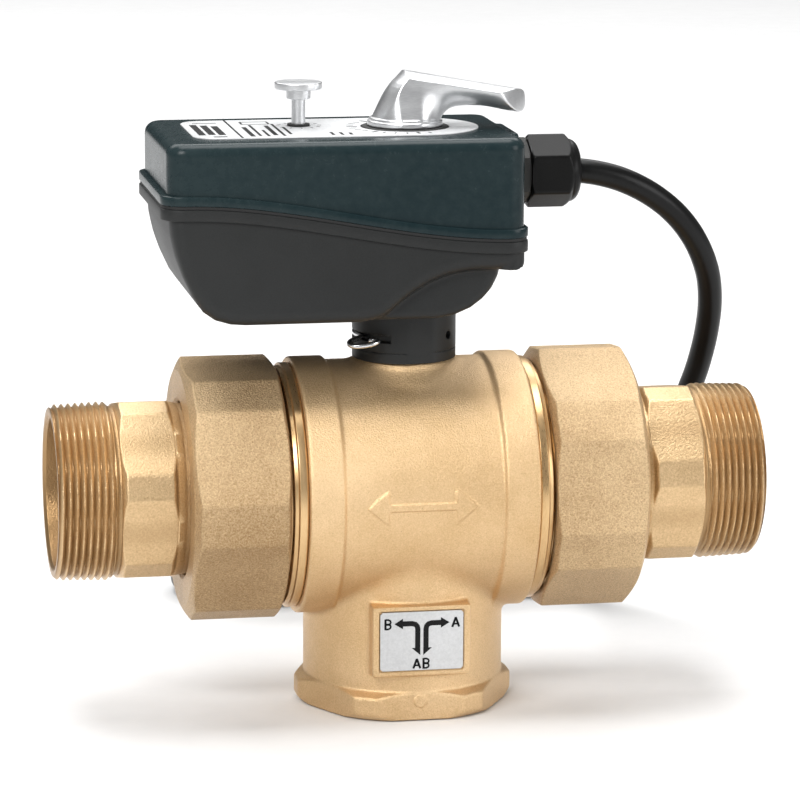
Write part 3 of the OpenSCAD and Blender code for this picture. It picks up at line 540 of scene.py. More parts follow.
def flat_plate(outlines, z0, z1, bevel=0.0):
    """Plate in the XY plane from closed outlines (the first is outside, the others are holes)."""
    curve = bpy.data.curves.new("outline", "CURVE")
    curve.dimensions = "2D"
    curve.fill_mode = "BOTH"
    for line in outlines:
        spline = curve.splines.new("POLY")
        spline.points.add(len(line) - 1)
        for point, (x, y) in zip(spline.points, line):
            point.co = (x, y, 0, 1)
        spline.use_cyclic_u = True
    curve.extrude = (z1 - z0) / 2 - bevel
    curve.bevel_depth = bevel
    curve.bevel_resolution = 1 if bevel else 0
    curve.offset = -bevel
    obj = bpy.data.objects.new("outline", curve)
    bpy.context.scene.collection.objects.link(obj)
    bpy.context.view_layer.update()
    mesh = bpy.data.meshes.new_from_object(obj)
    verts = np.array([v.co for v in mesh.vertices]) + np.array([0, 0, (z0 + z1) / 2])
    faces = [list(p.vertices) for p in mesh.polygons]
    bpy.data.objects.remove(obj)
    bpy.data.meshes.remove(mesh)
    bpy.data.curves.remove(curve)
    return verts, faces


def upright(part, y_front):
    """Turns a plate drawn in XY so that it stands facing the front: x stays, y becomes z."""
    v, f = part
    return np.stack([v[:, 0], y_front - v[:, 2], v[:, 1]], axis=-1), f


def bar(x0, y0, x1, y1, w):
    """Outline of a straight bar of width w."""
    d = np.array([x1 - x0, y1 - y0], float)
    d /= np.linalg.norm(d)
    n = np.array([-d[1], d[0]]) * w / 2
    a, b = np.array([x0, y0], float), np.array([x1, y1], float)
    return [tuple(a + n), tuple(a - n), tuple(b - n), tuple(b + n)]


def circle(cx, cy, r, k=48, start=0.0, sweep=360.0):
    """Points of a circle or an arc; angles in degrees."""
    ang = np.radians(start + np.linspace(0, sweep, k, endpoint=sweep < 360))
    return [(cx + r * math.cos(t), cy + r * math.sin(t)) for t in ang]


def ribbon(points, w):
    """Outline of a band of width w along an open line."""
    p = np.array(points, float)
    t = np.gradient(p, axis=0)
    t /= np.linalg.norm(t, axis=1)[:, None]
    n = np.stack([-t[:, 1], t[:, 0]], axis=-1) * w / 2
    return [tuple(q) for q in np.vstack([p + n, (p - n)[::-1]])]


# ---- cable, first
ROUTE = [
    (27, 6, 178), (34, 6, 178), (41, 6, 178), (47.9, 6, 178), (54.9, 6, 178),
    (61.8, 6.1, 177.6), (68.7, 6.4, 176.4), (75.4, 6.9, 174.4), (81.7, 7.8, 171.6),
    (87.7, 9.1, 168.1), (93.1, 10.7, 164.1), (98, 12.6, 159.5), (102.3, 14.8, 154.4),
    (105.9, 17.3, 149), (108.9, 20.1, 143.3), (111.2, 23.1, 137.5), (112.7, 26.2, 131.4),
    (113.6, 29.4, 125.3), (113.9, 32.6, 119.1), (113.8, 35.8, 112.8), (113.3, 38.9, 106.6),
    (112.6, 42.2, 100.5), (111.5, 45.5, 94.5), (110.4, 49, 88.6), (109.1, 52.7, 82.8),
    (107.8, 56.6, 77.1), (106.6, 60.5, 71.4), (105.5, 64.6, 65.7), (104.5, 68.7, 60.1),
    (103.8, 72.9, 54.6), (103.2, 77.3, 49.1), (102.7, 81.9, 43.8), (102.2, 86.6, 38.6),
    (101.5, 91.5, 33.6), (100.4, 96.6, 28.8), (98.8, 101.7, 24.3), (96.5, 106.9, 20.1),
    (93.3, 111.9, 16.2), (89.2, 116.5, 12.9), (84.1, 120.5, 10.1), (78.3, 123.8, 7.8),
    (71.8, 126.2, 6.3), (64.9, 127.6, 5.4), (58, 128.1, 5.1),
]
# Hank: ends of its straight runs, front run, fold radius, lowest point and where the jacket ends
HANK_X0, HANK_X1, HANK_Y0, FOLD, HANK_Z0, END_X = -30.0, 58.0, 128.0, 25.2, 0.9, 3.4
LAYER = 2 * CABLE_R
STRAIGHT = HANK_X1 - HANK_X0
ARC = math.pi * FOLD
TURN = 2 * (STRAIGHT + ARC)


def hank_point(s):
    """Point of the hank at length s (mm) from its start; it climbs a layer late in each turn."""
    n, u = divmod(s, TURN)
    yc = HANK_Y0 + FOLD
    if u < STRAIGHT:
        x, y = HANK_X1 - u, HANK_Y0
    elif u < STRAIGHT + ARC:
        a = (u - STRAIGHT) / FOLD
        x, y = HANK_X0 - FOLD * math.sin(a), yc - FOLD * math.cos(a)
    elif u < 2 * STRAIGHT + ARC:
        x, y = HANK_X0 + (u - STRAIGHT - ARC), yc + FOLD
    else:
        a = (u - 2 * STRAIGHT - ARC) / FOLD
        x, y = HANK_X1 + FOLD * math.sin(a), yc + FOLD * math.cos(a)
    return (x, y, HANK_Z0 + CABLE_R + LAYER * (n + ease((u / TURN - 0.62) / 0.31)))


hank_len = 3 * TURN + STRAIGHT + ARC + (END_X - HANK_X0)
lead = smooth_path(ROUTE, 2.0)
lead[-1][1] = HANK_Y0
hank = np.array([hank_point(s) for s in np.linspace(0, hank_len, 620)[1:]])
cable_path = np.vstack([lead, hank])
cable = add_mesh("supply_cable", *tube(cable_path, CABLE_R, 28), "cable_black", "valve", "cable_black",
                 ("cable_lead", "cable_hank"), sharp=50)
end = cable_path[-1]
cores = []
for i, mat in ((-1, "core_brown"), (0, "core_blue"), (1, "core_grey")):
    line = smooth_path([(end[0] - 3, end[1] + 2.4 * i, end[2]), (end[0] + 2, end[1] + 2.6 * i, end[2]),
                        (END_X + 8, end[1] + 3 * i, end[2] + 0.2), (END_X + 18, end[1] + 3.6 * i, end[2]),
                        (END_X + 28, end[1] + 3.8 * i, end[2] - 0.2)], 0.8)
    cut = int(len(line) * 0.8)
    core = add_mesh("core_" + mat[5:], *tube(line[:cut], 1.2, 16), mat, "valve", "core_insulation",
                    ("cable_cores",) if i == -1 else ())
    strand = add_mesh("strand_" + mat[5:], *tube(line[cut - 3:], 0.75, 12), "copper", "valve",
                      "core_insulation")
    cores += [core, strand]


# ---- valve body
def valve_body(x, y, z):
    """Cast body: barrel with raised ends, lower port and foot, label seat, neck and bores."""
    ry = np.hypot(y, z - RUN_Z)
    rxy = np.hypot(x, y)
    d = ry - (41.8 + 1.3 * ease((np.abs(x) - 26.0) / 1.6))
    d = round_max(d, np.abs(x) - 38.5, 0.9)
    port = np.maximum(np.maximum(rxy - 33.7, z - (RUN_Z - 8)), 6 - z)
    d = soft_min(d, port, 2.6)
    foot = flat_sides(x, y, [90, 30, 150]) - 33.93
    foot = soft_max(foot, flat_sides(x, y, [0, 60, 120]) - 36.76, 0.6)
    foot = soft_max(foot, ((rxy - 35) * 2.2 - z * 2.4) / 3.256, 0.6)
    foot = soft_max(foot, ((rxy - 37.4) * 2.3 + (z - 7.2) * 3.6) / 4.272, 0.6)
    foot = np.maximum(soft_max(foot, z - 9.5, 0.5), -z)
    d = soft_min(d, foot, 0.7)
    d = soft_min(d, box_distance(x, y, z, (-16.5, -35.6, 15.6), (16.5, -18, 39.6), 0.7), 1.4)
    recess = box_distance(x, y, z, (-14.3, -40, 17.3), (14.3, -34.8, 37.9), 0.3)
    d = soft_max(d, -recess, 0.35)
    cone = np.interp(z, [100, 111.4, 114.8, 117.3], [20.5, 18.4, 16.4, 15.6])
    neck = np.maximum(soft_max(rxy - cone, z - 117.35, 0.8), 100 - z)
    d = soft_min(d, neck, 5)
    d = np.minimum(d, np.maximum(soft_max(rxy - 12, z - 131, 0.8), 110 - z))
    # raised flow mark on the front
    ax, az = np.abs(x + 1), z - RUN_Z
    shaft = np.maximum(ax - 12, np.abs(az) - 1.25)
    head = np.maximum((ax - 18.5) * 0.64 + np.abs(az) * 0.77, 11.2 - ax)
    mark = soft_max(np.maximum(np.minimum(shaft, head), y), ry - 42.35, 0.5)
    d = soft_min(d, mark, 0.4)
    # mark left by the ejector pin on the foot
    pin = np.maximum(np.hypot(x, z - 6.6) - 2.25, np.abs(y + 33.9) - 0.5)
    d = soft_min(d, pin, 0.15)
    # bores
    d = soft_max(d, 31 - ry, 0.5)
    tri = saw(z / PITCH - np.arctan2(y, x) / (2 * math.pi))
    depth = np.clip(np.minimum(z / 1.6, (18.4 - z) / 1.5), 0, 1)
    thread = rxy - (28.4 + 1.35 * tri * depth + np.clip(2.2 - z, 0, 2.2) * 1.0)
    female = np.maximum(thread * 0.8, z - 18.4)
    d = soft_max(d, -female, 0.25)
    neck_in = np.maximum(rxy - np.interp(z, [18, 18.4, 23.4], [26.9, 26.9, 22]), np.abs(z - 20) - 3.4)
    d = np.maximum(d, -neck_in)
    d = soft_max(d, -np.maximum(rxy - 21, z - RUN_Z), 0.5)
    d = np.maximum(d, -np.maximum(rxy - 9, np.abs(z - RUN_Z - 31.5) - 3.5))
    d = np.maximum(d, -np.maximum(rxy - 6.25, RUN_Z - z))
    return np.maximum(d, -np.maximum(rxy - 9, 126.4 - z))


grid_step = 0.62
add_mesh("body_casting", *surface(valve_body, (-39.6, -44.6, -1.2), (39.6, 44.6, 132.2), grid_step),
         "cast_brass", "valve", "cast_brass", ("valve_body",), sharp=32)


# ---- end caps, nuts, tailpieces
def end_cap(name, side, node):
    """Threaded ring that closes one end of the barrel."""
    outer = [(25.5, 25), (25.5, 30.8), (32.8, 30.8), (32.8, 28.6), (35.6, 28.6), (35.6, 30.8), (38.6, 30.8),
             (38.6, 40.6), (39.1, 41.1), (41.6, 41.1), (41.9, 40.2), (43.2, 40), (43.2, 36.2), (43.9, 36.2)]
    phi = np.linspace(0, 360, 288, endpoint=False)
    grid = [along_x(x, r, phi, side=side) for x, r in rounded(outer, 0.2, 3)]
    for x in np.arange(44.0, 56.5, PITCH / 8):
        tri = saw(x / PITCH - phi / 360)
        crest = min(37.5, 36.4 + (x - 43.9) * 1.2, 36.4 + (56.8 - x) * 1.0)
        grid.append(along_x(x, np.minimum(37.5 - 1.2 * tri, crest), phi, side=side))
    for x, r in ((56.5, 36.2), (56.5, 25.4), (34, 25.4), (30, 25)):
        grid.append(along_x(x, r, phi, side=side))
    part = rings(grid, loop=True)
    add_mesh(name, *part, "machined_brass", "valve", "machined_brass", (node,), sharp=30)


def union_nut(name, side, turn, body, node):
    """Union nut: chamfered hexagon with its corners cut off."""
    phi = np.arange(0, 360, 1.0)
    hexagon = cut_hex(phi, 44.2, 41.5, turn)
    x0, x1 = NUT_X
    xs = np.unique(np.concatenate([np.linspace(x0, 49, 24), np.linspace(49, 71.5, 14),
                                   np.linspace(71.5, x1, 26)]))
    grid = []
    for x in xs:
        cone = np.interp(x, [x0, 46.7, 73.0, x1], [40.9, 46.6, 46.6, 39.6])
        grid.append(along_x(x, soft_min(hexagon, np.full(phi.shape, cone), 0.9), phi, side=side))
    grid[0] = along_x(x0, np.minimum(hexagon, 40.6), phi, side=side)
    for x, r in rounded([(x1, 39.2), (x1, 30.4), (75.2, 29.1), (66.3, 29.1), (66.3, 37.8), (45.6, 37.8),
                         (x0, 38.9), (x0, 40.3)], 0.25, 3):
        grid.append(along_x(x, r, phi, side=side))
    add_mesh(name, *rings(grid, loop=True), "forged_brass", body, "forged_brass", (node,), sharp=30)


def tailpiece(name, side, turn, node):
    """Tailpiece: collar, hexagon, groove and tapered outer thread."""
    phi = np.arange(0, 360, 1.25)
    hexagon = cut_hex(phi, 31.4, 44.5, turn)
    grid = [along_x(x, r, phi, side=side) for x, r in rounded(
        [(58.6, 25.2), (58.6, 35.6), (59, 36.2), (66.1, 36.2), (66.1, 28.6), (77, 28.6),
         (79.6, 29.4)], 0.3, 3)]
    for x in np.unique(np.concatenate([np.linspace(80, 84, 18), np.linspace(84, 94.5, 8),
                                       np.linspace(94.5, 98.1, 18)])):
        cone = np.interp(x, [80.0, 81.9, 96.4, 98.1], [29.5, 32.2, 32.2, 29.3])
        grid.append(along_x(x, soft_min(hexagon, np.full(phi.shape, cone), 0.7), phi, side=side))
    grid += [along_x(x, r, phi, side=side)
             for x, r in ((98.25, 28.9), (98.4, 28.35), (98.8, 28.25), (THREAD_X, 28.25))]
    for x in np.arange(99.6, TAIL_X, PITCH / 9):
        tri = saw(x / PITCH - phi / 360)
        crest = THREAD_R - (x - THREAD_X) * 0.034
        root = np.clip(crest - 1.5 * np.clip(tri * 1.12 - 0.06, 0, 1), 0, None)
        limit = min(28.2 + (x - THREAD_X) * 0.9, THREAD_R, 28.1 + (TAIL_X - x) * 0.85)
        grid.append(along_x(x, np.minimum(root, limit), phi, side=side))
    grid += [along_x(x, r, phi, side=side) for x, r in rounded(
        [(TAIL_X, 28.0), (TAIL_X, 26.2), (TAIL_X - 1, 25), (58.6, 25)], 0.2, 3)]
    add_mesh(name, *rings(grid, loop=True), "thread_brass", "valve", "machined_brass", (node,),
             sharp=42)


end_cap("end_cap_right", 1, "end_cap_a")
end_cap("end_cap_left", -1, "end_cap_b")
union_nut("union_nut_right", 1, 54, "nut_a_set", "union_nut_a")
union_nut("union_nut_left", -1, 35, "nut_b_set", "union_nut_b")
tailpiece("tailpiece_right", 1, 20, "tailpiece_a")
tailpiece("tailpiece_left", -1, 17, "tailpiece_b")

# ---- flow diagram plate
plate = flat_plate([[(-14, 18.4), (-14, 36.8), (-13.2, 37.6), (13.2, 37.6), (14, 36.8), (14, 18.4),
                     (13.2, 17.6), (-13.2, 17.6)]], 0, 0.5, 0.12)
add_mesh("flow_plate", *upright(plate, -34.9), "label_silver", "valve", "label_silver", ("port_label",))


def letter_a(cx, cz, s):
    """Strokes of the port letter A centred at (cx, cz); s sets its size."""
    return [bar(cx - 0.5 * s, cz - 0.7 * s, cx + 0.02, cz + 0.7 * s, 0.31 * s),
            bar(cx + 0.5 * s, cz - 0.7 * s, cx - 0.02, cz + 0.7 * s, 0.31 * s),
            bar(cx - 0.34 * s, cz - 0.25 * s, cx + 0.34 * s, cz - 0.25 * s, 0.25 * s)]


def letter_b(cx, cz, s):
    """Strokes of the port letter B, placed and sized like the A."""
    x = cx - 0.38 * s
    bows = [ribbon([(x, cz + m * s + 0.35 * s), (x + 0.4 * s, cz + m * s + 0.35 * s),
                    (x + 0.7 * s, cz + m * s + 0.2 * s), (x + 0.76 * s, cz + m * s),
                    (x + 0.7 * s, cz + m * s - 0.2 * s), (x + 0.4 * s, cz + m * s - 0.35 * s),
                    (x, cz + m * s - 0.35 * s)], 0.27 * s) for m in (0.33, -0.33)]
    return [bar(x, cz - 0.78 * s, x, cz + 0.78 * s, 0.31 * s)] + bows


def arrow(points, w, head):
    """Band along the points with a triangle at its last point."""
    p = np.array(points, float)
    d = (p[-1] - p[-2]) / np.linalg.norm(p[-1] - p[-2])
    n = np.array([-d[1], d[0]])
    tip = p[-1] + d * head
    return [ribbon(points, w), [tuple(tip), tuple(p[-1] + n * head * 0.62), tuple(p[-1] - n * head * 0.62)]]


LEFT_BEND = [(-1.39, 25.2), (-1.39, 31.7), (-1.6, 32.7), (-2.2, 33.35), (-3.3, 33.65), (-6.4, 33.65)]
RIGHT_BEND = [(-x, z) for x, z in LEFT_BEND]
marks = arrow(LEFT_BEND, 1.77, 2.9) + arrow(RIGHT_BEND, 1.77, 2.9)
marks += [[(-3.42, 25.3), (-0.5, 22.8), (-0.5, 25.3)], [(3.42, 25.3), (0.5, 25.3), (0.5, 22.8)]]
marks += letter_b(-11.4, 33.6, 2.35) + letter_a(11.4, 33.6, 2.35)
marks += letter_a(-1.65, 19.9, 2.35) + letter_b(1.5, 19.9, 2.35)
printed = join_parts([flat_plate([m], 0, 0.06) for m in marks])
add_mesh("flow_print", *upright(printed, -35.39), "print_black", "valve", "label_silver", sharp=0)


# ---- collar and clip
def collar(x, y, z):
    """Mounting collar with the clip groove round its back and left, and a small hole on its right."""
    r = np.hypot(x, y)
    d = round_max(r - 17.4, np.maximum(117.4 - z, z - 134.45), 0.4)
    facet = x * math.sin(math.radians(9)) - y * math.cos(math.radians(9)) - 16.75
    d = soft_max(d, facet, 0.3)
    uncut = np.minimum(0.788 * x - 0.616 * y, 0.906 * x - 0.423 * y)
    groove = np.maximum(round_max(15.4 - r, np.abs(z - CLIP_Z) - 1.2, 0.2), uncut)
    d = soft_max(d, -groove, 0.3)
    line = np.maximum(np.abs(z - 120.9) - 0.12, 17.1 - r)
    d = soft_max(d, -line, 0.12)
    hole = np.maximum(np.hypot((x - 12.35) * 0.77 + (y + 11.0) * 0.64, z - 126.0) - 1.4, 15.2 - r)
    hole = np.maximum(hole, y)
    d = soft_max(d, -hole, 0.2)
    return np.maximum(d, 12.2 - r)


grid_step = 0.36
add_mesh("collar", *surface(collar, (-18.4, -18.4, 116.6), (18.4, 18.4, 135.2), grid_step),
         "black_plastic", "valve", "black_plastic", ("mounting_collar",), sharp=32)
wire = [(x, y, CLIP_Z) for x, y in circle(0, 0, 16.6, 14, 60, 130)]
wire += [(-15.4, -7.0, CLIP_Z + 0.05), (-16.4, -9.6, CLIP_Z + 0.1), (-18.4, -12.4, CLIP_Z + 0.1),
         (-20.6, -14.8, CLIP_Z - 0.2), (-21.4, -17.0, CLIP_Z - 0.7), (-20.2, -18.7, CLIP_Z - 1.1),
         (-17.6, -19.4, CLIP_Z - 1.0), (-14.8, -19.4, CLIP_Z - 0.6), (-12.6, -18.6, CLIP_Z - 0.2),
         (-11.9, -17.3, CLIP_Z), (-12.7, -15.9, CLIP_Z + 0.1), (-14.6, -15.4, CLIP_Z + 0.2)]
add_mesh("wire_clip", *tube(smooth_path(wire, 0.6), 0.9, 16), "bright_steel", "valve", "spring_steel",
         ("retaining_clip",), sharp=50)


# ---- actuator shells
def part_at(x):
    """Height of the parting line between base and cover."""
    return PART_L + (PART_R - PART_L) * ease((x + 78) / 108)


BASE_SIDE = [(-84.3, 190), (-84, 171), (-83, 164), (-81, 157.4), (-78.4, 150.6), (-75.4, 144.2),
             (-72, 139.4), (-68, 136.4), (-63, 134.9), (-58, 134.5), (-20, 134.5), (-16, 135.2),
             (-12.2, 136.4), (-9.4, 138.5), (-5.9, 141.5), (-2.3, 144.1), (2.6, 147), (7.5, 149),
             (11.9, 150.1), (17.1, 150.8), (31.4, 151), (33.6, 151.8), (34.7, 153.6), (34.9, 156),
             (34.9, 190)]
LOBE_SIDE = [(-60, 170), (-60, 134.5), (6, 134.5), (12, 135.6), (17.2, 137.8), (21, 140.6),
             (24.4, 144), (27, 147.8), (28.6, 151.6), (29.4, 158), (29.4, 170)]
SCREWS = [(-72, -26.5), (-72, 26.5), (30, -29), (30, 29)]


def side_polygon(x, z, poly):
    """Distance to a side outline, worked out once per column and spread along y."""
    if x.ndim == 3:
        return polygon_distance(x[:, :1, :], z[:, :1, :], poly) + np.zeros(x.shape)
    return polygon_distance(x, z, poly)


def base(x, y, z):
    """Lower shell: hull, the lobe under it, its hollow and the screw bosses."""
    side = side_polygon(x, z, BASE_SIDE)
    plan = plan_distance(x, y, -84.3, 34.9, COVER_Y, 6.5)
    under = z - part_at(x) + 0.5
    d = np.maximum(soft_max(side, plan, 5.0), under)
    lobe_side = side_polygon(x, z, LOBE_SIDE)
    lobe_plan = plan_distance(x, y, -70, 29.4, 29, 9)
    d = soft_min(d, soft_max(lobe_side, lobe_plan, 3.0), 1.2)
    hollow = np.maximum(side + 2.4, plan + 2.4)
    lobe_in = np.maximum(np.maximum(lobe_side + 2.4, lobe_plan + 2.4), -58 - x)
    d = soft_max(d, -np.minimum(hollow, lobe_in), 0.5)
    d = np.maximum(d, -np.maximum(np.hypot(x, y) - 9.4, np.abs(z - 136) - 4))
    for (px, py), top in zip(SCREWS, (150, 150, 153.6, 153.6)):
        r = np.hypot(x - px, y - py)
        boss = np.maximum(np.maximum(r - 4.6, side), z - part_at(x) + 0.5)
        d = np.minimum(d, boss)
        d = np.maximum(d, -np.maximum(r - 3, z - top))
        d = np.maximum(d, -np.maximum(r - 1.7, 130 - z))
    return np.maximum(d, under)


def cover(x, y, z):
    """Cover: shell with the gland seat, screw bosses and the openings in its top and end."""
    plan = plan_distance(x, y, COVER_X[0], COVER_X[1], COVER_Y, 6.5)
    p = z - part_at(x)
    shell = round_max(plan, z - COVER_Z, 3.8)
    d = np.maximum(shell, 0.5 - p)
    d = soft_min(d, box_distance(x, y, z, (20, -7, 165), (37.4, 19, 192.6), 1.3), 1.2)
    inner = plan_distance(x, y, COVER_X[0] + 2.8, COVER_X[1] - 2.8, COVER_Y - 2.8, 4)
    d = soft_max(d, -np.maximum(inner, z - (COVER_Z - 4.4)), 0.6)
    for px, py in SCREWS:
        r = np.hypot(x - px, y - py)
        boss = np.maximum(np.maximum(r - 3.4, z - 191), 0.5 - p)
        d = np.minimum(d, boss)
        d = np.maximum(d, -np.maximum(r - 1.5, z - part_at(x) - 12.5))
    d = soft_max(d, -np.maximum(np.hypot(x, y) - 6.4, 180 - z), 0.2)
    d = soft_max(d, -np.maximum(np.hypot(x - KNOB_X, y - KNOB_Y) - 3.5, 180 - z), 0.2)
    d = soft_max(d, -np.maximum(np.hypot(y - GLAND_Y, z - GLAND_Z) - 8.1, 20 - x), 0.2)
    return np.maximum(d, 0.5 - p)


def rim(x0, x1, half, rad, n=14, m=72):
    """Points round a rectangle with round corners, close enough to follow the parting line."""
    pts = []
    for cx, cy, a0 in ((x1 - rad, half - rad, 0), (x0 + rad, half - rad, 90),
                       (x0 + rad, rad - half, 180), (x1 - rad, rad - half, 270)):
        for a in np.radians(a0 + np.linspace(0, 90, n)):
            pts.append((cx + rad * math.cos(a), cy + rad * math.sin(a)))
        if a0 in (0, 180):
            end_x = x0 + rad if a0 == 0 else x1 - rad
            pts += [(cx + (end_x - cx) * t, cy + (rad if a0 == 0 else -rad))
                    for t in np.linspace(0, 1, m + 2)[1:-1]]
        else:
            pts += [(cx + (-rad if a0 == 90 else rad), cy * (1 - 2 * t)) for t in np.linspace(0, 1, 12)[1:-1]]
    return np.array(pts)


def flange(profile):
    """Closed band that follows the parting line, from (inset, height above it) points."""
    grid = []
    for inset, dz in profile:
        line = rim(-85.4 + inset, 36.0 - inset, COVER_Y + 1.2 - inset, 7.5 - 0.9 * inset)
        grid.append(np.column_stack([line, part_at(line[:, 0]) + dz]))
    return rings(np.array(grid)[:, ::-1], loop=True)


def with_flange(shell, profile):
    """Shell surface and its flange band as one mesh."""
    verts, faces = shell
    more, quads = flange(profile)
    return np.vstack([verts, more]), np.vstack([faces, quads + len(verts)])


LOW_BAND = [(3.6, -4.4), (1.0, -4.4), (0.35, -4.35), (0.1, -4.2), (0, -3.95), (0, -1.0), (0.08, -0.72),
            (0.3, -0.55), (0.6, -0.5), (3.6, -0.5)]
TOP_BAND = [(3.6, 0.5), (0.6, 0.5), (0.3, 0.55), (0.08, 0.72), (0, 1.0), (0, 3.2), (0.1, 3.48),
            (0.35, 3.66), (0.7, 3.7), (3.6, 3.7)]
grid_step = 0.58
shell = surface(base, (-86.6, -36.4, 133.4), (37.2, 36.4, 176.2), grid_step)
add_mesh("base_shell", *with_flange(shell, LOW_BAND), "black_plastic", "valve", "black_plastic",
         ("base_housing",), sharp=30)
shell = surface(cover, (-86.6, -36.4, 159.2), (38.6, 36.4, 195.6), grid_step)
add_mesh("cover_shell", *with_flange(shell, TOP_BAND), "smoked_cover", "valve", "smoked_cover",
         ("top_cover",), sharp=30)

outer, inner = rim(-84.95, 35.55, 34.75, 7.05), rim(-81.4, 32, 31.2, 3.6)
seal = []
for line, dz in ((outer, -0.44), (outer, 0.44), (inner, 0.44), (inner, -0.44)):
    seal.append(np.column_stack([line, part_at(line[:, 0]) + dz]))
add_mesh("shell_seal", *rings(np.array(seal)[:, ::-1], loop=True), "gasket_black", "valve", "seal_rubber",
         ("housing_gasket",))


# ---- rating plate with generic marks
def radial_tick(cx, cy, deg, r0, r1, w):
    """Short bar of width w that points away from (cx, cy)."""
    c, s = math.cos(math.radians(deg)), math.sin(math.radians(deg))
    return bar(cx + r0 * c, cy + r0 * s, cx + r1 * c, cy + r1 * s, w)


PLATE_Z0, PLATE_Z1 = 194.32, 194.77
plate_edge = [(-73, -16), (-72, -19), (-69.5, -21.6), (-66.5, -22.6), (1.6, -22.8)] + circle(
    1.6, 0, 22.8, 40, -90, 180)[1:-1] + [(1.6, 22.8), (-66.5, 22.6), (-69.5, 21.6), (-72, 19), (-73, 16)]
plate = flat_plate([plate_edge, circle(0, 0, 14.8, 64)[::-1], circle(KNOB_X, KNOB_Y, 3.9, 32)[::-1]],
                   PLATE_Z0, PLATE_Z1, 0.1)
add_mesh("top_plate", *plate, "label_silver", "valve", "label_silver", ("rating_plate",))
marks = [bar(-57.5, -22.2, -57.5, 22.2, 0.7)]
marks += [bar(-69.5 + 3.3 * i, -14 + 0.8 * (i % 2), -69.5 + 3.3 * i, 12 - 2 * (i % 3), 2.3) for i in range(3)]
marks += [bar(-66.5, -18.5, -62, -18.5, 1.6), bar(-69, 15.5, -61, 15.5, 0.9)]
for row, ends in enumerate(((-19, 4), (-18, 9), (-19, -4), (-17, 7), (-19, 11), (-15, 2))):
    x = -53.5 + 2.6 * row
    marks.append(bar(x, ends[0], x, ends[1], 0.9 if row % 3 else 1.5))
marks += [bar(-53, 11, -44, 11, 0.7), bar(-53, 17, -44, 17, 0.7), bar(-53, 11, -53, 17, 0.7),
          bar(-44, 11, -44, 17, 0.7)]
for col in range(3):
    marks.append(bar(-27 + 3 * col, -19, -27 + 3 * col, -12 - col, 1.0))
for a in range(0, 360, 30):
    marks.append(radial_tick(KNOB_X, KNOB_Y, a, 6.4, 7.6, 0.45))
for i, a in enumerate(range(130, 291, 12)):
    marks.append(radial_tick(0, 0, a, 17.2, 19.6, 0.5) if i % 4 else radial_tick(0, 0, a, 16, 19.6, 0.9))
printed = join_parts([flat_plate([m], PLATE_Z1, PLATE_Z1 + 0.05) for m in marks])
add_mesh("top_print", *printed, "print_black", "valve", "label_silver", sharp=0)

# ---- lever
LEVER_SIDE = [(-11.8, 195.6), (-11.2, 197.6), (-10.6, 198.9), (-9.75, 200.5), (-8.7, 202.7), (-7.5, 205.0),
              (-6.45, 206.7), (-5.3, 208.3), (-4.2, 209.6), (-3.05, 210.7), (-1.9, 211.9), (-0.4, 213.5),
              (0.6, 217), (60, 217), (60, 198.6), (39, 198.6), (37.4, 198.65), (34.5, 199.1), (31, 199.9),
              (27.8, 200.6), (25, 201), (21.9, 201.15), (19.5, 201.15), (17.6, 201), (15.9, 200.7),
              (14.3, 200.1), (13, 199.2), (12.1, 198.2), (11.7, 197.2), (11.6, 195.6)]
# Dome that cuts the end of the arm: its direction, radius and centre
NOSE_N = np.array([0.8125, -0.57, 0.122])
NOSE_R = 24.0
NOSE_C = np.array([37.0, 0.0, 202.7]) - (NOSE_R - 2.0) * NOSE_N


def smooth_step(v, lo, hi):
    """0 below lo, 1 above hi, smooth between."""
    return ease((v - lo) / (hi - lo))


def lever(x, y, z):
    """Leaning head with a curved left face, crowned top and an arm cut by a domed slanting face."""
    plan_r = np.interp(z, [196, 200, 206, 213], [9.7, 11, 13, 15])
    side = polygon_distance(x - y * y / (2 * plan_r) * (1 - smooth_step(x, 0, 8)), z, LEVER_SIDE)
    along = smooth_step(x, 3, 17)
    flare = np.interp(z, [195.6, 198, 200, 202, 204, 207, 210, 214],
                      [12.6, 11.3, 10.5, 9.8, 9.2, 8.4, 7.8, 7.4])
    bulge = smooth_step(x, -10, -3) * (1 - along)
    wall = (np.abs(y) - 7.4 - (flare - 7.4) * bulge) * 0.94
    high = 211.6 - 0.178 * x
    low = np.interp(x, [14, 20, 25, 28, 31, 34.5, 38], [200.4, 201.1, 201, 200.6, 199.9, 199.1, 198.6])
    drop = np.maximum(high - z, 0) / np.maximum(high - low, 2)
    arm = (np.hypot(y / 7.4, drop) - 1) * 5.5
    d = soft_max(side, wall * (1 - along) + arm * along, 0.35 + 0.8 * (1 - smooth_step(z, 200, 208)))
    top = (z - 213.42 + 0.178 * np.maximum(x, -0.4) + 1.9 * (y / 7.4) ** 2) * 0.9
    d = soft_max(d, top, 0.18)
    tip = np.hypot(x - 38.3, z - 202.65) - 4.1
    d = np.where(x > 38.3, np.maximum(d, tip), d)
    px, py, pz = x - NOSE_C[0], y - NOSE_C[1], z - NOSE_C[2]
    ahead = px * NOSE_N[0] + py * NOSE_N[1] + pz * NOSE_N[2]
    nose = np.sqrt(px * px + py * py + pz * pz) - NOSE_R
    d = soft_max(d, np.where(ahead > 12, nose, -4), 0.3)
    r = np.hypot(x, y)
    ring = round_max(r - 12.5, np.maximum(z - 197.0, 195.1 - z), 0.45)
    upper = round_max(r - 11.9, np.maximum(z - 197.9, 196 - z), 0.4)
    d = soft_min(d, soft_min(ring, upper, 0.25), 0.35)
    socket = np.maximum(np.maximum(np.abs(x), np.abs(y)) - 3.75, z - 203.4)
    d = np.maximum(d, -socket)
    return np.maximum(d, -np.maximum(np.hypot(x, z - 200) - 1.7, 3 - y))


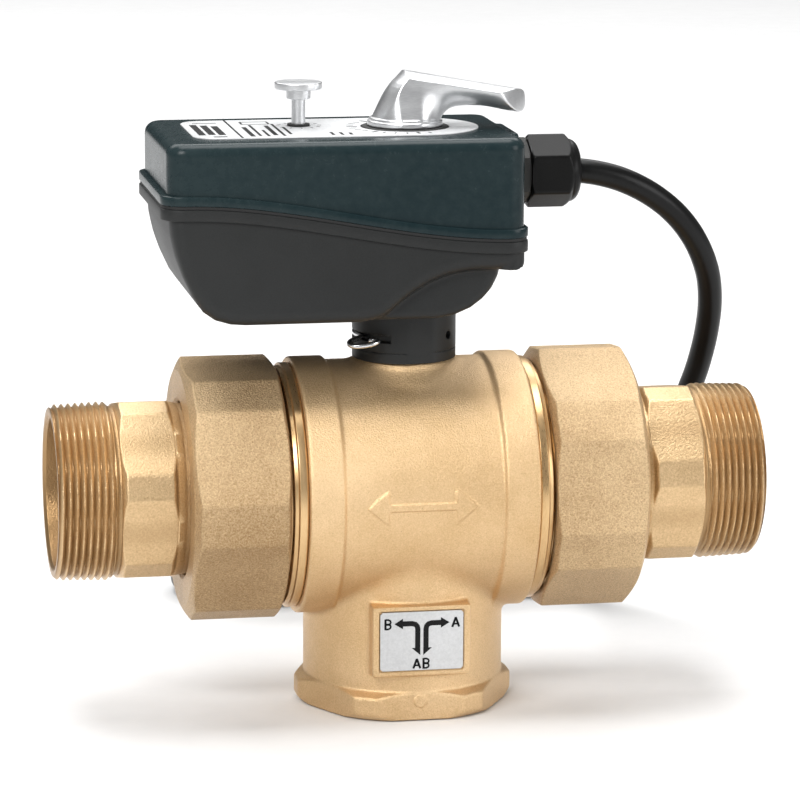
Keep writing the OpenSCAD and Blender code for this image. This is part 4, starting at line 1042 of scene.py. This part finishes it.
grid_step = 0.26
add_mesh("hand_lever", *surface(lever, (-13.4, -13.4, 194.4), (44.2, 13.4, 214.4), grid_step),
         "satin_chrome", "shaft_set", "satin_chrome", ("lever",), sharp=24)
shim = rounded([(6.5, 194.37), (14.5, 194.37), (14.5, 194.8), (14.1, 195.03), (6.5, 195.03), (6.5, 194.5)],
               0.08, 2)
add_mesh("lever_shim", *lathe_z(shim), "gasket_black", "shaft_set", "black_plastic", ("lever_ring",))

# ---- release button and its bush
button = rounded(
    [(0.05, 172), (2.3, 172), (2.3, 179), (4.4, 179), (4.4, 180.6), (2.3, 180.6), (2.3, KNOB_Z - 5.6),
     (4.1, KNOB_Z - 5.6), (4.1, KNOB_Z - 2.3), (7.9, KNOB_Z - 2.3), (7.9, KNOB_Z), (0.05, KNOB_Z)], 0.45, 5)
add_mesh("push_button", *turned_z(button, KNOB_X, KNOB_Y, 96), "satin_chrome", "button_set", "satin_chrome",
         ("release_button",))
bush = rounded([(2.4, 188.6), (3.4, 188.6), (3.4, 194.85), (3.75, 194.85), (3.75, 195.5), (2.4, 195.5),
                (2.4, 189)], 0.12, 2)
add_mesh("guide_bush", *lathe_z(bush, KNOB_X, KNOB_Y, 72), "gasket_black", "valve", "black_plastic",
         ("button_bush",))
coil = [(KNOB_X + 3.5 * math.cos(a), KNOB_Y + 3.5 * math.sin(a), 161 + 17.5 * a / (12 * math.pi))
        for a in np.linspace(0, 12 * math.pi, 145)]
spring = add_mesh("return_spring", *tube(coil, 0.42, 10), "bright_steel", "valve", "spring_steel",
                  ("button_spring",))
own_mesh(spring)

# ---- cable gland
phi = np.arange(0, 360, 2.0)


def gland_ring(x, r):
    """Ring about the axis of the gland."""
    return along_x(x, r, phi, GLAND_Y, GLAND_Z)


hexagon = cut_hex(phi, 11.5, 60, 0)
grid = [gland_ring(x, r) for x, r in rounded([(28.4, 5.0), (28.4, 7.6), (28.8, 7.9), (37.4, 7.9)], 0.2, 3)]
for x in np.linspace(37.46, 42.4, 16):
    cone = np.interp(x, [37.46, 38.1, 41.8, 42.4], [10.7, 11.7, 11.7, 10.5])
    grid.append(gland_ring(x, soft_min(hexagon, np.full(phi.shape, cone), 0.5)))
grid += [gland_ring(x, r) for x, r in rounded([(42.4, 9.2), (42.4, 8.3), (55, 8.3), (55.6, 7.7), (55.6, 6.65),
                                               (45, 6.65), (45, 4.95), (28.4, 4.95)], 0.2, 3)]
add_mesh("gland_base", *rings(grid, loop=True), "gland_grey", "valve", "gland_grey",
         ("gland_body",), sharp=32)
hexagon = cut_hex(phi, 12.4, 57, 0)
grid = []
for x in np.linspace(42.6, 56.9, 34):
    cone = np.interp(x, [42.6, 43.4, 55.2, 56.9], [11.4, 12.8, 12.8, 10.7])
    grid.append(gland_ring(x, soft_min(hexagon, np.full(phi.shape, cone), 0.6)))
grid += [gland_ring(x, r) for x, r in rounded(
    [(57.0, 10.6), (57.6, 10.5), (58.6, 10.0), (59.4, 9.2), (60.0, 8.0), (60.3, 6.6), (60.3, 5.0), (57, 5.0),
     (57, 7), (56.2, 8.6), (42.6, 8.6), (42.6, 10.2)], 0.3, 3)]
add_mesh("gland_cap", *rings(grid, loop=True), "gland_black", "gland_nut_set", "gland_black",
         ("gland_nut",), sharp=32)


# ---- strap round the hank
def strap_outline(r, y0, y1, z0, z1):
    """Rectangle with round corners, as (y, z) points."""
    pts = []
    corners = ((y1 - r, z1 - r, 0), (y0 + r, z1 - r, 90), (y0 + r, z0 + r, 180), (y1 - r, z0 + r, 270))
    for cy, cz, a0 in corners:
        for a in np.radians(a0 + np.linspace(0, 90, 10)):
            pts.append((cy + r * math.cos(a), cz + r * math.sin(a)))
    return np.array(pts)


hy0, hy1, hz1 = HANK_Y0 - CABLE_R, HANK_Y0 + 2 * FOLD + CABLE_R, HANK_Z0 + 4 * LAYER
band_out = strap_outline(4.4, hy0 - 0.95, hy1 + 0.95, 0.0, hz1 + 0.88)
band_in = strap_outline(3.6, hy0 - 0.15, hy1 + 0.15, 0.8, hz1 + 0.1)
section = [(band_in, -17.0), (band_out, -17.0), (band_out, -7.0), (band_in, -7.0)]
strap = rings(np.array([np.column_stack([np.full(len(p), x), p]) for p, x in section]), loop=True)
flap = np.array([(hy0 + 3 + t * 17, hz1 + 0.88 + 0.75 * min(1, t * 6)) for t in np.linspace(0, 1, 12)])
under = flap - np.array([0, 0.7])
tail = np.array([np.column_stack([np.full(12, x), p]) for p, x in
                 ((under, -16.4), (flap, -16.4), (flap, -7.6), (under, -7.6))])
tail = rings(tail, wrap=False, loop=True)
add_mesh("strap", *join_parts([strap, tail]), "tie_black", "valve", "tie_black", ("cable_tie",), sharp=40)

# ---- finish of the parts kept from the frame
# Slots whose material has another name; every other slot and its material share one
OTHER_LOOK = {
    "seal_rubber": "rubber", "fibre_gasket": "fibre", "stem_metal": "machined_brass",
    "spring_steel": "bright_steel", "screw_steel": "bright_steel", "switch_black": "black_plastic",
    "core_insulation": "core_brown",
}
for part in frame["record"]["subparts"]:
    obj = NODES[part["node"]]
    slot = part["material_slot"]
    obj.data.materials.clear()
    obj.data.materials.append(M[OTHER_LOOK.get(slot, slot)])

# ---- floor, backdrop and light
def stage_sheet(name, corners, mat):
    """Flat sheet that belongs to the studio, not to the object."""
    mesh = bpy.data.meshes.new(name)
    mesh.from_pydata(corners, [], [(0, 1, 2, 3)])
    mesh.materials.append(M[mat])
    obj = bpy.data.objects.new(name, mesh)
    bpy.context.scene.collection.objects.link(obj)


FLOOR_Z = -0.0004
stage_sheet("floor", [(-4, -2.5, FLOOR_Z), (4, -2.5, FLOOR_Z), (4, 3.4, FLOOR_Z), (-4, 3.4, FLOOR_Z)],
            "floor")
stage_sheet("dark_flag", [(-2.4, 3.3, 0.12), (2.4, 3.3, 0.12), (2.4, 3.3, 1.5), (-2.4, 3.3, 1.5)],
            "gasket_black")


def softbox(name, place, aim, width, height, power):
    """Rectangular area light aimed at a point."""
    light = bpy.data.lights.new(name, "AREA")
    light.shape = "RECTANGLE"
    light.size, light.size_y, light.energy = width, height, power
    obj = bpy.data.objects.new(name, light)
    bpy.context.scene.collection.objects.link(obj)
    obj.location = place
    obj.rotation_euler = (Vector(aim) - Vector(place)).to_track_quat("-Z", "Y").to_euler()


softbox("key", (-0.75, -1.0, 1.0), (0, 0, 0.1), 0.7, 0.6, 18.5)
softbox("fill", (1.25, -0.9, 0.55), (0, 0, 0.1), 0.8, 0.8, 9.5)
softbox("top", (0.0, 0.1, 1.4), (0, 0, 0.1), 1.1, 0.8, 19)
softbox("floor_wash", (0.0, 1.9, 1.9), (0, 1.9, 0), 3.4, 1.6, 62)
world = bpy.data.worlds.new("studio")
bpy.context.scene.world = world
world.use_nodes = True
world.node_tree.nodes["Background"].inputs["Color"].default_value = (1, 1, 1, 1)
world.node_tree.nodes["Background"].inputs["Strength"].default_value = 0.24
bpy.context.scene.view_settings.view_transform = "Standard"
